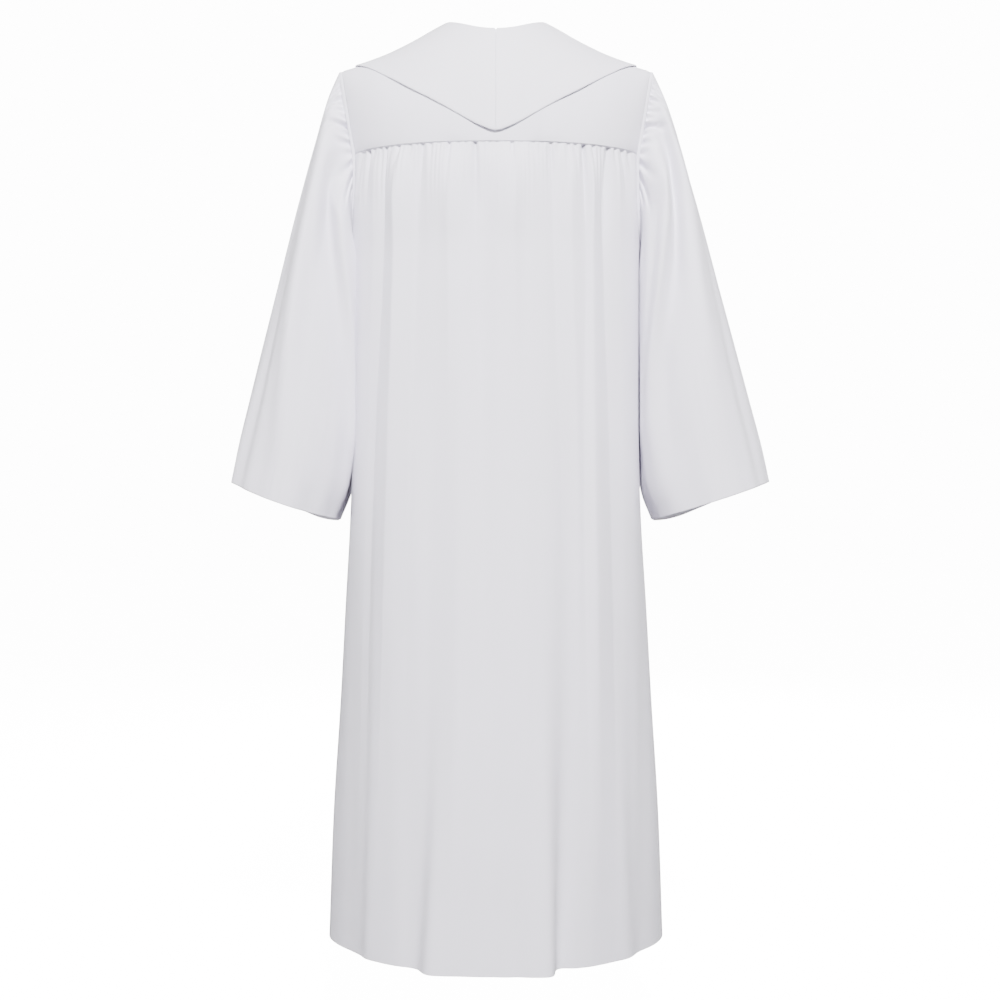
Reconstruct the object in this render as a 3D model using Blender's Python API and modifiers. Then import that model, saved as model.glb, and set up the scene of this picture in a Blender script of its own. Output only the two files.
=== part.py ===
"""A white clergy and choir robe in its cut pieces, filled out as a wearer fills it.

Metres, +Z up. The back faces -Y and the front +Y. The origin is midway between the neck
points, where the wearer's shoulders carry the robe. Drops are measured down from there.
"""

import math
from typing import NamedTuple

import bpy
import numpy as np

# Cloth
CLOTH = 0.0015  # wall of a cut piece
COLLAR_CLOTH = 0.0020  # the collar is two layers pressed together
TAPE_CLOTH = 0.0010
SEAM_GAP = 0.0003  # between two pieces that are sewn together

# The body's oval: |x / side|^n + |y / deep|^n = 1, where n is ROUND down to the underarm
ROUND = 2.2
YOKE_DROP = 0.197
UNDERARM_DROP = 0.320
HEM_DROP = 1.297

RIDGE_HALF = 0.219  # middle to shoulder tip
SEAM_HALF = 0.197  # middle to armhole, along the yoke seam

# Neckline, as the share of the shoulder line that it takes and how far it turns over it
NECK_SHARE = 0.324
NECK_BACK_TURN = math.radians(41)
NECK_FRONT_TURN = math.radians(78)
NECK_FRONT_CURVE = 1.2

# Mantle collar: it ends short of the shoulder tip and falls to a point behind and before
COLLAR_FRONT_DEEPER = 1.25  # the point before turns that much further than the one behind
COLLAR_ROWS = 7
COLLAR_COLUMNS = 29
COLLAR_SEAT = 0.0009  # clear of the yoke along the neckline
COLLAR_LIFT = 0.0035  # more than that at its outer edge

# Centre front
FRONT_GAP = 0.0010
TAPE_HALF = 0.012
TAPE_SEAT = 0.0004
TAPE_TOP = 0.162
TAPE_END = 0.900

# Gathers: they crowd towards the armholes, and stay flat where the pieces are sewn
GATHERS = 28  # across the back, and as many across the two fronts
GATHER_CROWDING = 1.02  # radians of a sine wave, 0 for even spacing
UNDERARM_CROWDING = 6  # the higher, the fewer folds lean out under the arm
COLUMNS_A_GATHER = 3  # one in its valley and two on its ridge
STITCHED = 0.005  # flat strip along a gathered seam

# Sleeve head
SLEEVE_GATHERS = 7  # behind the shoulder tip, and as many before it
SLEEVE_GATHERS_FROM = math.radians(22)
SLEEVE_GATHERS_TO = math.radians(92)
SLEEVE_STRIP = 0.004
RING_ROUND = 2.3  # the ring's oval, 2 for an ellipse
SLEEVE_FOLLOWS = 0.16  # share of the sleeve that still shows the armhole's own curve

BACK, FRONT = 1.0, -1.0


class Level(NamedTuple):
    """How far the body reaches at one drop below the neck points, and its oval's power there."""

    drop: float
    side: float
    back: float
    front: float
    power: float


class Ridge(NamedTuple):
    """A point of the shoulder line, seen from the back."""

    x: float
    z: float


class Flute(NamedTuple):
    """A long fold: its two edges at the seam, half-way and at the hem, how far it stands out, and how
    softly each edge turns."""

    left_seam: float
    left_waist: float
    left_hem: float
    right_seam: float
    right_waist: float
    right_hem: float
    waist_out: float
    hem_out: float
    left_soft: float
    right_soft: float


class SleeveFold(NamedTuple):
    """A long fold of a sleeve: its turn round the ring, and how far it stands out (or in, with a minus)."""

    head_turn: float
    elbow_turn: float
    cuff_turn: float
    half_width: float
    head_out: float
    elbow_out: float
    cuff_out: float


class SleeveCut(NamedTuple):
    """A sleeve's own cut: how far its cuff's outer end stands out past the table of rings, how far the
    cuff's edge hangs at its middle, behind and before, and how far the sleeve closes in round the body."""

    flare: float
    sag: float
    front_sag: float
    tuck: float


class Ring(NamedTuple):
    """One ring of the right sleeve: its outer and inner points from behind, and its half depth."""

    along: float
    outer_x: float
    outer_drop: float
    inner_x: float
    inner_drop: float
    half_depth: float


class CollarEdge(NamedTuple):
    """A point of the collar's outer edge behind: its sweep round the neck, and its share and turn."""

    sweep: float
    share: float
    turn: float


class Swell(NamedTuple):
    """How far the gathers stand in and out at one distance below their seam."""

    below: float
    out: float


BODY = (
    Level(drop=0.197, side=0.2070, back=0.126, front=0.118, power=ROUND),
    Level(drop=0.320, side=0.2015, back=0.134, front=0.130, power=ROUND),
    Level(drop=0.450, side=0.2010, back=0.142, front=0.137, power=2.18),
    Level(drop=0.640, side=0.2030, back=0.155, front=0.147, power=2.12),
    Level(drop=0.710, side=0.2060, back=0.160, front=0.151, power=2.08),
    Level(drop=0.823, side=0.2130, back=0.168, front=0.158, power=2.02),
    Level(drop=0.966, side=0.2210, back=0.177, front=0.166, power=1.94),
    Level(drop=1.108, side=0.2300, back=0.186, front=0.174, power=1.88),
    Level(drop=1.297, side=0.2370, back=0.196, front=0.182, power=1.80),
)

# The row before the middle only levels the line there
RIDGE = (
    Ridge(x=-0.0400, z=0.0095),
    Ridge(x=0.0000, z=0.0190),
    Ridge(x=0.0400, z=0.0095),
    Ridge(x=0.0683, z=-0.0062),
    Ridge(x=0.0883, z=-0.0171),
    Ridge(x=0.1080, z=-0.0286),
    Ridge(x=0.1310, z=-0.0406),
    Ridge(x=0.1552, z=-0.0518),
    Ridge(x=0.1820, z=-0.0614),
    Ridge(x=0.2008, z=-0.0668),
    Ridge(x=0.2190, z=-0.0715),
)

BACK_FLUTES = (
    Flute(-0.060, -0.058, -0.092, 0.074, 0.076, 0.072, 0.0090, 0.0225, 0.009, 0.006),
    Flute(-0.139, -0.146, -0.163, -0.104, -0.100, -0.098, 0.0100, 0.0120, 0.016, 0.020),
    Flute(0.112, 0.104, 0.094, 0.143, 0.149, 0.168, 0.0100, 0.0110, 0.016, 0.016),
    Flute(-0.061, -0.053, -0.092, -0.028, -0.026, -0.052, 0.0040, 0.0110, 0.009, 0.014),
    Flute(0.022, 0.022, 0.036, 0.070, 0.074, 0.072, 0.0030, 0.0110, 0.014, 0.006),
)

FRONT_FLUTES = (
    Flute(0.028, 0.030, 0.030, 0.074, 0.082, 0.098, 0.0070, 0.0160, 0.009, 0.012),
    Flute(0.100, 0.108, 0.116, 0.143, 0.150, 0.172, 0.0090, 0.0130, 0.014, 0.010),
)

GATHER_SWELL = (
    Swell(below=0.000, out=0.0000),
    Swell(below=0.005, out=0.0000),
    Swell(below=0.020, out=0.0013),
    Swell(below=0.045, out=0.0014),
    Swell(below=0.085, out=0.0013),
    Swell(below=0.125, out=0.0011),
    Swell(below=0.250, out=0.0008),
    Swell(below=0.450, out=0.0004),
    Swell(below=1.100, out=0.0000),
)

BODY_DROPS = (0.202, 0.217, 0.242, 0.280, 0.308, 0.320, 0.450, 0.640, 0.900, HEM_DROP)

RINGS = (
    Ring(0.000, 0.219, 0.0715, 0.2050, 0.323, 0.046),
    Ring(0.074, 0.238, 0.1110, 0.2060, 0.345, 0.058),
    Ring(0.200, 0.262, 0.1830, 0.2060, 0.385, 0.070),
    Ring(0.323, 0.283, 0.2540, 0.2055, 0.430, 0.077),
    Ring(0.566, 0.320, 0.3960, 0.2060, 0.525, 0.087),
    Ring(0.811, 0.356, 0.5390, 0.2060, 0.620, 0.094),
    Ring(0.930, 0.374, 0.6110, 0.2095, 0.675, 0.097),
    Ring(1.000, 0.383, 0.6550, 0.2220, 0.708, 0.099),
)
RING_ALONGS = (0.040, 0.100, 0.200, 0.400, 0.700, 1.000)

SLEEVE_SWELL = (
    Swell(below=0.000, out=0.0000),
    Swell(below=0.035, out=0.0012),
    Swell(below=0.085, out=0.0020),
    Swell(below=0.170, out=0.0016),
    Swell(below=0.400, out=0.0000),
    Swell(below=1.000, out=0.0000),
)
# Turns in degrees from the sleeve's outer line, behind; before it they repeat more weakly
SLEEVE_FOLDS = {
    "left": (
        SleeveFold(62, 83, 100, 14, 0.004, 0.008, 0.006),
        SleeveFold(80, 136, 160, 12, -0.006, -0.005, 0.000),
    ),
    "right": (
        SleeveFold(28, 68, 88, 14, 0.003, 0.006, 0.005),
        SleeveFold(46, 95, 110, 10, -0.007, -0.008, 0.000),
        SleeveFold(70, 116, 135, 16, 0.004, 0.005, 0.002),
    ),
}
FOLDS_BEFORE = 0.7
FOLD_STOPS = (0.0, 0.15, 0.50, 1.0)  # along the sleeve: armhole, head, elbow and cuff
FLUTE_STOPS = (0.0, 0.12, 0.42, 1.0)  # down a panel: seam, blades, waist and hem
BLADES_SHARE = 0.7  # of a flute's height at the waist
SLEEVE_CUTS = {
    "left": SleeveCut(flare=-0.0085, sag=0.0030, front_sag=0.0140, tuck=0.036),
    "right": SleeveCut(flare=0.0030, sag=0.0000, front_sag=0.0140, tuck=0.018),
}
TUCK_CLEAR = 0.0035  # a closed-in sleeve still clears the body by this
TUCK_GROWN, TUCK_HELD = 0.30, 0.72  # between these shares of the sleeve it closes in fully

# In degrees: straight from the rounded point nearly to the shoulder line, where it ends in a corner
COLLAR_EDGE = (
    CollarEdge(0.0, 0.000, 86.4),
    CollarEdge(6.2, 0.035, 86.1),
    CollarEdge(15.6, 0.140, 83.5),
    CollarEdge(25.9, 0.280, 78.0),
    CollarEdge(35.5, 0.420, 70.8),
    CollarEdge(44.5, 0.555, 61.9),
    CollarEdge(53.5, 0.665, 51.6),
    CollarEdge(61.1, 0.745, 41.9),
    CollarEdge(70.6, 0.825, 28.8),
    CollarEdge(79.0, 0.885, 16.5),
    CollarEdge(84.0, 0.907, 8.5),
    CollarEdge(90.0, 0.912, 0.0),
)

NECK_COLUMNS = 8
SHOULDER_COLUMNS = 10
# Rows of a yoke, with a narrow one at the shoulder seam so that its edge is square
YOKE_ROWS = np.array((0.0, 0.03, 0.17, 0.33, 0.50, 0.67, 0.84, 1.0))

WHITE_CLOTH = (0.76, 0.75, 0.79, 1.0)
CLOTH_ROUGHNESS = 0.85


def column(table, name):
    """One named column of a table, as an array."""
    return np.array([getattr(row, name) for row in table])


def through(stops, values, at):
    """A smooth curve through a table's values, as cubic pieces that share their slopes."""
    at = np.clip(at, stops[0], stops[-1])
    slopes = np.gradient(values, stops)
    piece = np.clip(np.searchsorted(stops, at) - 1, 0, len(stops) - 2)
    width = stops[piece + 1] - stops[piece]
    q = (at - stops[piece]) / width
    return (
        (2 * q**3 - 3 * q**2 + 1) * values[piece]
        + (q**3 - 2 * q**2 + q) * width * slopes[piece]
        + (3 * q**2 - 2 * q**3) * values[piece + 1]
        + (q**3 - q**2) * width * slopes[piece + 1]
    )


def body_size(drop, face):
    """The body's half width and its depth behind or before the middle, at a drop."""
    stops = column(BODY, "drop")
    side = through(stops, column(BODY, "side"), drop)
    deep = through(stops, column(BODY, "back" if face == BACK else "front"), drop)
    return side, deep


def oval_depth(across, side, deep, power=ROUND):
    """The other half axis of the body's oval, at a distance from the middle."""
    share = np.clip(np.abs(across) / side, 0, 1)
    return deep * (1 - share**power) ** (1 / power)


def shoulder(share, turn):
    """A point of the yoke's outer side.

    share runs from -1 to 1 between the armholes. turn is 0 on the shoulder line, a right
    angle at the yoke seam behind, and as much with a minus before; past it the point runs
    straight down over the body.
    """
    face = np.where(turn < 0, FRONT, BACK)
    share, bend = np.broadcast_arrays(share * 1.0, np.minimum(np.abs(turn), math.pi / 2))
    ridge_x = share * RIDGE_HALF
    ridge_z = through(column(RIDGE, "x"), column(RIDGE, "z"), np.abs(ridge_x))
    rise = ridge_z + YOKE_DROP
    below = np.maximum(np.abs(turn) - math.pi / 2, 0) * rise
    side, back = body_size(YOKE_DROP + below, BACK)
    front = body_size(YOKE_DROP + below, FRONT)[1]
    seam_x = share * SEAM_HALF * side / BODY[0].side
    deep = oval_depth(seam_x, side, np.where(face == BACK, back, front))
    return np.stack(
        (
            seam_x + (ridge_x - seam_x) * np.cos(bend),
            -face * deep * np.sin(bend),
            rise * np.cos(bend) - YOKE_DROP - below,
        ),
        axis=-1,
    )


def unit(vectors):
    """The vectors at length one."""
    return vectors / np.linalg.norm(vectors, axis=-1, keepdims=True)


def above_shoulder(share, turn, out):
    """A point of the yoke moved out along its normal."""
    step = 1e-4
    along_share = shoulder(share + step, turn) - shoulder(share - step, turn)
    along_turn = shoulder(share, turn + step) - shoulder(share, turn - step)
    normal = unit(np.cross(along_turn, along_share))
    return shoulder(share, turn) + normal * np.asarray(out)[..., None]


def neck_turn(share, face):
    """How far the neckline turns over the shoulder line, at a share of its width."""
    inside = np.clip(np.abs(share) / NECK_SHARE, 0, 1)
    if face == BACK:
        return NECK_BACK_TURN * np.sqrt(1 - inside**2)
    return NECK_FRONT_TURN * (1 - inside**NECK_FRONT_CURVE)


def armhole_depth(drop, face):
    """How far behind or before the middle the armhole's edge lies, at a drop below the yoke seam."""
    deep = oval_depth(SEAM_HALF, *body_size(YOKE_DROP, face))
    fall = np.clip((drop - YOKE_DROP) / (UNDERARM_DROP - YOKE_DROP), 0, 1)
    return np.maximum(deep * np.sqrt(1 - fall**2), SEAM_GAP / 2)


def body_point(share, drop, face, middle_gap=0.0):
    """A point of the body's smooth outer side, and the direction it faces.

    share runs from 0 at the middle to 1 (or -1) at the armhole or the side seam.
    """
    side, deep = body_size(drop, face)
    last = np.arccos((armhole_depth(drop, face) / deep) ** (ROUND / 2))
    first = np.arcsin((middle_gap / side) ** (ROUND / 2))
    seam_side, seam_deep = body_size(YOKE_DROP, face)
    seam_last = np.arccos((oval_depth(SEAM_HALF, seam_side, seam_deep) / seam_deep) ** (ROUND / 2))
    part = np.abs(share)
    angle = first + part * (seam_last - first) + part**UNDERARM_CROWDING * (last - seam_last)
    x = np.sign(share + 1e-12) * side * np.sin(angle) ** (2 / ROUND)
    power = through(column(BODY, "drop"), column(BODY, "power"), drop)
    y = np.maximum(oval_depth(x, side, deep, power), SEAM_GAP / 2)
    facing = np.stack(
        (
            np.sign(x) * np.abs(x / side) ** (power - 1) / side,
            -face * (y / deep) ** (power - 1) / deep,
            np.zeros_like(x * y),
        ),
        axis=-1,
    )
    point = np.stack((x * np.ones_like(y), -face * y * np.ones_like(x), -drop + 0 * x), axis=-1)
    return point, unit(facing)


def gather_shares(count):
    """Where the columns lie along a seam, from its middle to its end, and their turn in the gathers."""
    columns = np.arange(count // 2 * COLUMNS_A_GATHER + 1)
    turns = columns / COLUMNS_A_GATHER
    part = columns / columns[-1]
    across = SEAM_HALF * np.sin(GATHER_CROWDING * part) / math.sin(GATHER_CROWDING)
    side, deep = body_size(YOKE_DROP, BACK)
    last = math.acos((oval_depth(SEAM_HALF, side, deep) / deep) ** (ROUND / 2))
    return np.arcsin((across / side) ** (ROUND / 2)) / last, turns


def eased(value):
    """0 below 0, 1 above 1 and a smooth step between."""
    value = np.clip(value, 0, 1)
    return value * value * (3 - 2 * value)


def flute_height(flutes, x, drop):
    """How far the long folds stand out at a place on a panel."""
    length = (drop - YOKE_DROP) / (HEM_DROP - YOKE_DROP)
    seam, _, waist, hem = FLUTE_STOPS
    total = np.zeros(np.broadcast(x, drop).shape)
    for flute in flutes:
        lefts = (flute.left_seam, flute.left_waist, flute.left_hem)
        rights = (flute.right_seam, flute.right_waist, flute.right_hem)
        left, right = (np.interp(length, (seam, waist, hem), edges) for edges in (lefts, rights))
        outs = (0.0, BLADES_SHARE * flute.waist_out, flute.waist_out, flute.hem_out)
        rise = np.tanh((x - left) / flute.left_soft) - np.tanh((x - right) / flute.right_soft)
        total = total + np.interp(length, FLUTE_STOPS, outs) * rise / 2
    return total


def panel_points(shares, turns, face, flutes, middle_gap):
    """The outer side of a gathered panel, a row for each drop and a column for each share."""
    drops = np.array((YOKE_DROP + SEAM_GAP,) + BODY_DROPS)[:, None]
    level = np.maximum(drops, YOKE_DROP + STITCHED)
    point, facing = body_point(shares[None, :], level, face, middle_gap)
    point[..., 2] = -drops
    edge = eased((1 - np.abs(shares)) / 0.10 - 0.15)[None, :]
    if middle_gap:
        edge = edge * eased(np.abs(point[..., 0]) / 0.030 - 0.5)
    swell = through(column(GATHER_SWELL, "below"), column(GATHER_SWELL, "out"), drops - YOKE_DROP)
    wave = -swell * np.cos(2 * math.pi * turns[None, :])
    out = (wave + flute_height(flutes, point[..., 0], drops)) * edge
    return point + facing * out[..., None]


def armhole(turn):
    """The right armhole's edge and the body's facing there, for turns round it from the shoulder tip."""
    face = np.where(np.sin(turn) < 0, FRONT, BACK)
    fold = np.abs(np.arctan2(np.sin(turn), np.cos(turn)))
    end, over = np.ones_like(fold), face * np.minimum(fold, math.pi / 2)
    upper = shoulder(end, over)
    upper_facing = unit(above_shoulder(end, over * 0.999, CLOTH) - shoulder(end, over * 0.999))
    drop = YOKE_DROP - np.minimum(np.cos(fold), 0) * (UNDERARM_DROP - YOKE_DROP)
    lower, lower_facing = np.zeros_like(upper), np.zeros_like(upper)
    for one_face in (BACK, FRONT):
        here = face == one_face
        point, facing = body_point(np.ones_like(drop[here]), drop[here], one_face)
        lower[here], lower_facing[here] = point, facing
    high = (fold <= math.pi / 2)[..., None]
    return np.where(high, upper, lower), np.where(high, upper_facing, lower_facing)


def sleeve_turns():
    """Turns round the sleeve's ring for its columns, with four to each gather of the head."""
    head = np.linspace(SLEEVE_GATHERS_FROM, SLEEVE_GATHERS_TO, SLEEVE_GATHERS * COLUMNS_A_GATHER + 1)
    under = np.linspace(SLEEVE_GATHERS_TO, 2 * math.pi - SLEEVE_GATHERS_TO, 17)[1:-1]
    top = np.array((-0.5, 0.0, 0.5)) * SLEEVE_GATHERS_FROM
    return np.concatenate((top, head, under, 2 * math.pi - head[::-1]))


def sleeve_wave(turn):
    """The gathers' wave round the sleeve's head, faded at both ends of each run."""
    fold = np.abs(np.arctan2(np.sin(turn), np.cos(turn)))
    part = (fold - SLEEVE_GATHERS_FROM) / (SLEEVE_GATHERS_TO - SLEEVE_GATHERS_FROM)
    inside = eased(part * SLEEVE_GATHERS) * eased((1 - part) * SLEEVE_GATHERS)
    return -np.cos(2 * math.pi * part * SLEEVE_GATHERS) * inside


def sleeve_ring(along, turn, flare=0.0):
    """A plain ring of the right sleeve, and the direction that each of its points faces."""
    stops = column(RINGS, "along")
    outer_x, inner_x = (through(stops, column(RINGS, name), along) for name in ("outer_x", "inner_x"))
    outer_x = outer_x + flare * along
    outer_drop, inner_drop = (
        through(stops, column(RINGS, name), along) for name in ("outer_drop", "inner_drop")
    )
    depth = through(stops, column(RINGS, "half_depth"), along)
    outer, inner = np.array((outer_x, 0.0, -outer_drop)), np.array((inner_x, 0.0, -inner_drop))
    middle, reach = (outer + inner) / 2, (outer - inner) / 2
    cos, sin = np.cos(turn), np.sin(turn)
    cos = (np.sign(cos) * np.abs(cos) ** (2 / RING_ROUND))[:, None]
    sin = (np.sign(sin) * np.abs(sin) ** (2 / RING_ROUND))[:, None]
    behind = np.array((0.0, -1.0, 0.0))
    ring = middle + reach * cos + behind * depth * sin
    return ring, unit(reach / np.dot(reach, reach) * cos + behind * sin / depth)


def fold_height(folds, along, turn):
    """How far a sleeve's long folds stand out at a place along it and round it."""
    over = np.degrees(np.abs(np.arctan2(np.sin(turn), np.cos(turn))))
    total = np.zeros_like(over)
    for fold in folds:
        middle = np.interp(along, FOLD_STOPS[1:], (fold.head_turn, fold.elbow_turn, fold.cuff_turn))
        out = np.interp(along, FOLD_STOPS, (0.0, fold.head_out, fold.elbow_out, fold.cuff_out))
        total = total + out * np.exp(-(((over - middle) / fold.half_width) ** 2))
    return total * np.where(np.sin(turn) < 0, FOLDS_BEFORE, 1.0)


def closed_in(ring, along, turn, tuck):
    """A ring's x with its inner half closed in round the body's side, clear of the body's cloth."""
    drop = -ring[:, 2]
    side, back = body_size(drop, BACK)
    deep = np.where(np.sin(turn) < 0, body_size(drop, FRONT)[1], back)
    power = through(column(BODY, "drop"), column(BODY, "power"), drop)
    body_x = oval_depth(ring[:, 1], deep, side, power)
    held = eased(along / TUCK_GROWN) * (1 - eased((along - TUCK_HELD) / (1 - TUCK_HELD)))
    inward = tuck * held * np.maximum(-np.cos(turn), 0) * np.abs(np.sin(turn))
    return np.minimum(ring[:, 0], np.maximum(ring[:, 0] - inward, body_x + TUCK_CLEAR))


def sleeve_points(turn, folds, cut):
    """The outer side of a sleeve, drawn as the right one: a row for each ring, a column for each turn."""
    edge, facing = armhole(turn)
    run = unit(np.roll(edge, -1, axis=0) - np.roll(edge, 1, axis=0))
    onward = unit(np.cross(facing, run))
    lean = np.abs(np.arctan2(np.sin(turn), np.cos(turn)))[:, None] / 2
    leave = onward * np.cos(lean) + facing * np.sin(lean)
    rings = [edge + leave * SEAM_GAP * 1.5, edge + leave * SLEEVE_STRIP]

    own_curve = rings[-1] - sleeve_ring(0.0, turn)[0]
    for along in RING_ALONGS:
        ring, normal = sleeve_ring(along, turn, cut.flare)
        ring = ring + own_curve * (1 - eased(along / SLEEVE_FOLLOWS))
        fold = fold_height(folds, along, turn)
        swell = through(column(SLEEVE_SWELL, "below"), column(SLEEVE_SWELL, "out"), along)
        ring = ring + normal * (fold + swell * sleeve_wave(turn))[:, None]
        inward = (1 - np.cos(turn)) / 1.3
        sag = np.where(np.sin(turn) > 0, cut.sag, cut.front_sag * inward) * np.sin(turn) ** 2
        ring[:, 2] -= sag * along**4
        ring[:, 0] = closed_in(ring, along, turn, cut.tuck)
        rings.append(ring)
    return np.stack(rings)


def yoke_start(share, face):
    """The turn at which a yoke starts: its neckline, or the shoulder seam with half its gap."""
    deep = oval_depth(share * SEAM_HALF, *body_size(YOKE_DROP, face))
    return neck_turn(share, face) + SEAM_GAP / 2 / deep


def yoke_back_points():
    """The back yoke: from the neckline and the shoulder line down to the yoke seam."""
    neck = NECK_SHARE * np.sin(np.linspace(0, math.pi / 2, NECK_COLUMNS))
    half = np.concatenate((neck, np.linspace(NECK_SHARE, 1, SHOULDER_COLUMNS)[1:]))
    share = np.concatenate((-half[:0:-1], half))[None, :]
    start = yoke_start(share, BACK)
    return shoulder(share, start + (math.pi / 2 - start) * YOKE_ROWS[:, None])


def yoke_front_points():
    """The right front yoke: from the neckline and the shoulder line down to the yoke seam."""
    neck = NECK_SHARE * np.linspace(0, 1, NECK_COLUMNS)
    share = np.concatenate((neck, np.linspace(NECK_SHARE, 1, SHOULDER_COLUMNS)[1:]))[None, :]
    start = yoke_start(share, FRONT)
    points = shoulder(share, -(start + (math.pi / 2 - start) * YOKE_ROWS[:, None]))
    points[..., 0] = np.maximum(points[..., 0], FRONT_GAP / 2)
    return points


def collar_points():
    """The right half of the collar, from the centre back round the neck to the centre front."""
    sweep = np.linspace(0, math.pi, COLLAR_COLUMNS)[:, None]
    part = np.linspace(0, 1, COLLAR_ROWS)[None, :]
    face = np.where(sweep <= math.pi / 2, BACK, FRONT)
    neck_share = NECK_SHARE * np.sin(sweep)
    neck = np.where(face == BACK, neck_turn(neck_share, BACK), neck_turn(neck_share, FRONT))
    stops, from_centre = column(COLLAR_EDGE, "sweep"), np.degrees(np.minimum(sweep, math.pi - sweep))
    edge_share = through(stops, column(COLLAR_EDGE, "share"), from_centre)
    edge = np.radians(through(stops, column(COLLAR_EDGE, "turn"), from_centre))
    edge = edge * np.where(face == BACK, 1.0, COLLAR_FRONT_DEEPER)
    share = neck_share + (edge_share - neck_share) * part
    turn = face * (neck + (edge - neck) * part)
    points = above_shoulder(share, turn, COLLAR_SEAT + COLLAR_LIFT * np.sqrt(part) + 0 * turn)
    gap = np.where(face == BACK, SEAM_GAP, FRONT_GAP) / 2
    points[..., 0] = np.maximum(points[..., 0], gap)
    return points


def tape_points():
    """The zip's tape behind the centre front, from the foot of the neckline to the zip's end."""
    below = [drop for drop in BODY_DROPS if drop <= TAPE_END]
    drops = np.concatenate((np.linspace(TAPE_TOP, YOKE_DROP, 4), below))
    across = np.array((-1.0, 0.0, 1.0)) * TAPE_HALF
    rise = shoulder(0.0, 0.0)[2] + YOKE_DROP
    turn = np.arccos(np.clip((YOKE_DROP - drops) / rise, 0, 1))
    side, deep = body_size(np.maximum(drops, YOKE_DROP), FRONT)
    depth = oval_depth(TAPE_HALF, side, deep) * np.sin(turn) - CLOTH - TAPE_SEAT
    return np.stack(np.broadcast_arrays(across[None, :], depth[:, None], -drops[:, None]), axis=-1)


def cloth_material():
    """The robe's plain white cloth."""
    material = bpy.data.materials.new("white_cloth")
    material.use_nodes = True
    shader = material.node_tree.nodes["Principled BSDF"]
    shader.inputs["Base Color"].default_value = WHITE_CLOTH
    shader.inputs["Roughness"].default_value = CLOTH_ROUGHNESS
    shader.inputs["Metallic"].default_value = 0.0
    return material


def add_piece(collection, name, points, wall, ring=False, outside=True, centre=None):
    """Makes a cut piece: an open surface through a grid of points, given its wall by Solidify.

    The faces turn away from centre. The wall goes inwards from the points, or outwards
    where outside is False and the points are the side that lies on another piece.
    """
    rows, columns = points.shape[:2]
    index = np.arange(rows * columns).reshape(rows, columns)
    if ring:
        index = np.concatenate((index, index[:, :1]), axis=1)
    faces = np.stack((index[:-1, :-1], index[:-1, 1:], index[1:, 1:], index[1:, :-1]), axis=-1)
    middle = rows // 2, columns // 3
    corner = points[middle]
    across = points[middle[0], middle[1] + 1] - corner
    along = points[middle[0] + 1, middle[1]] - corner
    inside = points[middle[0]].mean(axis=0) if ring else centre
    if np.dot(np.cross(across, along), corner - inside) < 0:
        faces = faces[..., ::-1]
    mesh = bpy.data.meshes.new(name)
    mesh.from_pydata(points.reshape(-1, 3).tolist(), [], faces.reshape(-1, 4).tolist())
    mesh.shade_smooth()
    piece = bpy.data.objects.new(name, mesh)
    collection.objects.link(piece)
    piece.data.materials.append(cloth_material())
    solidify = piece.modifiers.new("wall", "SOLIDIFY")
    solidify.thickness = wall
    solidify.offset = -1 if outside else 1
    return piece


def mirrored(points):
    """The same points on the other side of the robe."""
    return points * np.array((-1.0, 1.0, 1.0))


def build():
    """Cuts and places every piece of the robe."""
    for old in list(bpy.data.objects):
        bpy.data.objects.remove(old)
    robe = bpy.data.collections.new("clergy_robe")
    bpy.context.scene.collection.children.link(robe)
    chest = np.array((0.0, 0.0, -0.25))

    add_piece(robe, "yoke_back", yoke_back_points(), CLOTH, centre=chest)
    half, turns = gather_shares(GATHERS)
    shares = np.concatenate((-half[:0:-1], half))
    wave = np.concatenate((turns[:0:-1], turns))
    back = panel_points(shares, wave, BACK, BACK_FLUTES, 0.0)
    add_piece(robe, "back_panel", back, CLOTH, centre=np.array((0.0, 0.0, -0.5)))

    front = panel_points(half, turns, FRONT, FRONT_FLUTES, FRONT_GAP / 2)
    yoke_front, collar = yoke_front_points(), collar_points()
    for side, turned in (("right", lambda points: points), ("left", mirrored)):
        add_piece(robe, f"yoke_front_{side}", turned(yoke_front), CLOTH, centre=chest)
        add_piece(robe, f"front_{side}", turned(front), CLOTH, centre=chest)
        sleeve = sleeve_points(sleeve_turns(), SLEEVE_FOLDS[side], SLEEVE_CUTS[side])
        add_piece(robe, f"sleeve_{side}", turned(sleeve), CLOTH, ring=True)
        add_piece(robe, f"collar_{side}", turned(collar), COLLAR_CLOTH, outside=False, centre=chest)
    add_piece(robe, "zip_tape", tape_points(), TAPE_CLOTH, centre=chest)


build()
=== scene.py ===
"""Dresses the clergy robe: each cut piece becomes a thin sheet of white woven cloth.

Metres, +Z up. The back faces -Y and the front +Y, and the origin is midway between the neck
points. Drops are measured down from there. Each surface is a function of two parameters on a
grid of numpy arrays, and the folds are added along the direction that the cloth faces.
"""

from __future__ import annotations

import logging
import math
from dataclasses import dataclass, field
from enum import Enum
from typing import Callable, NamedTuple

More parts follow.
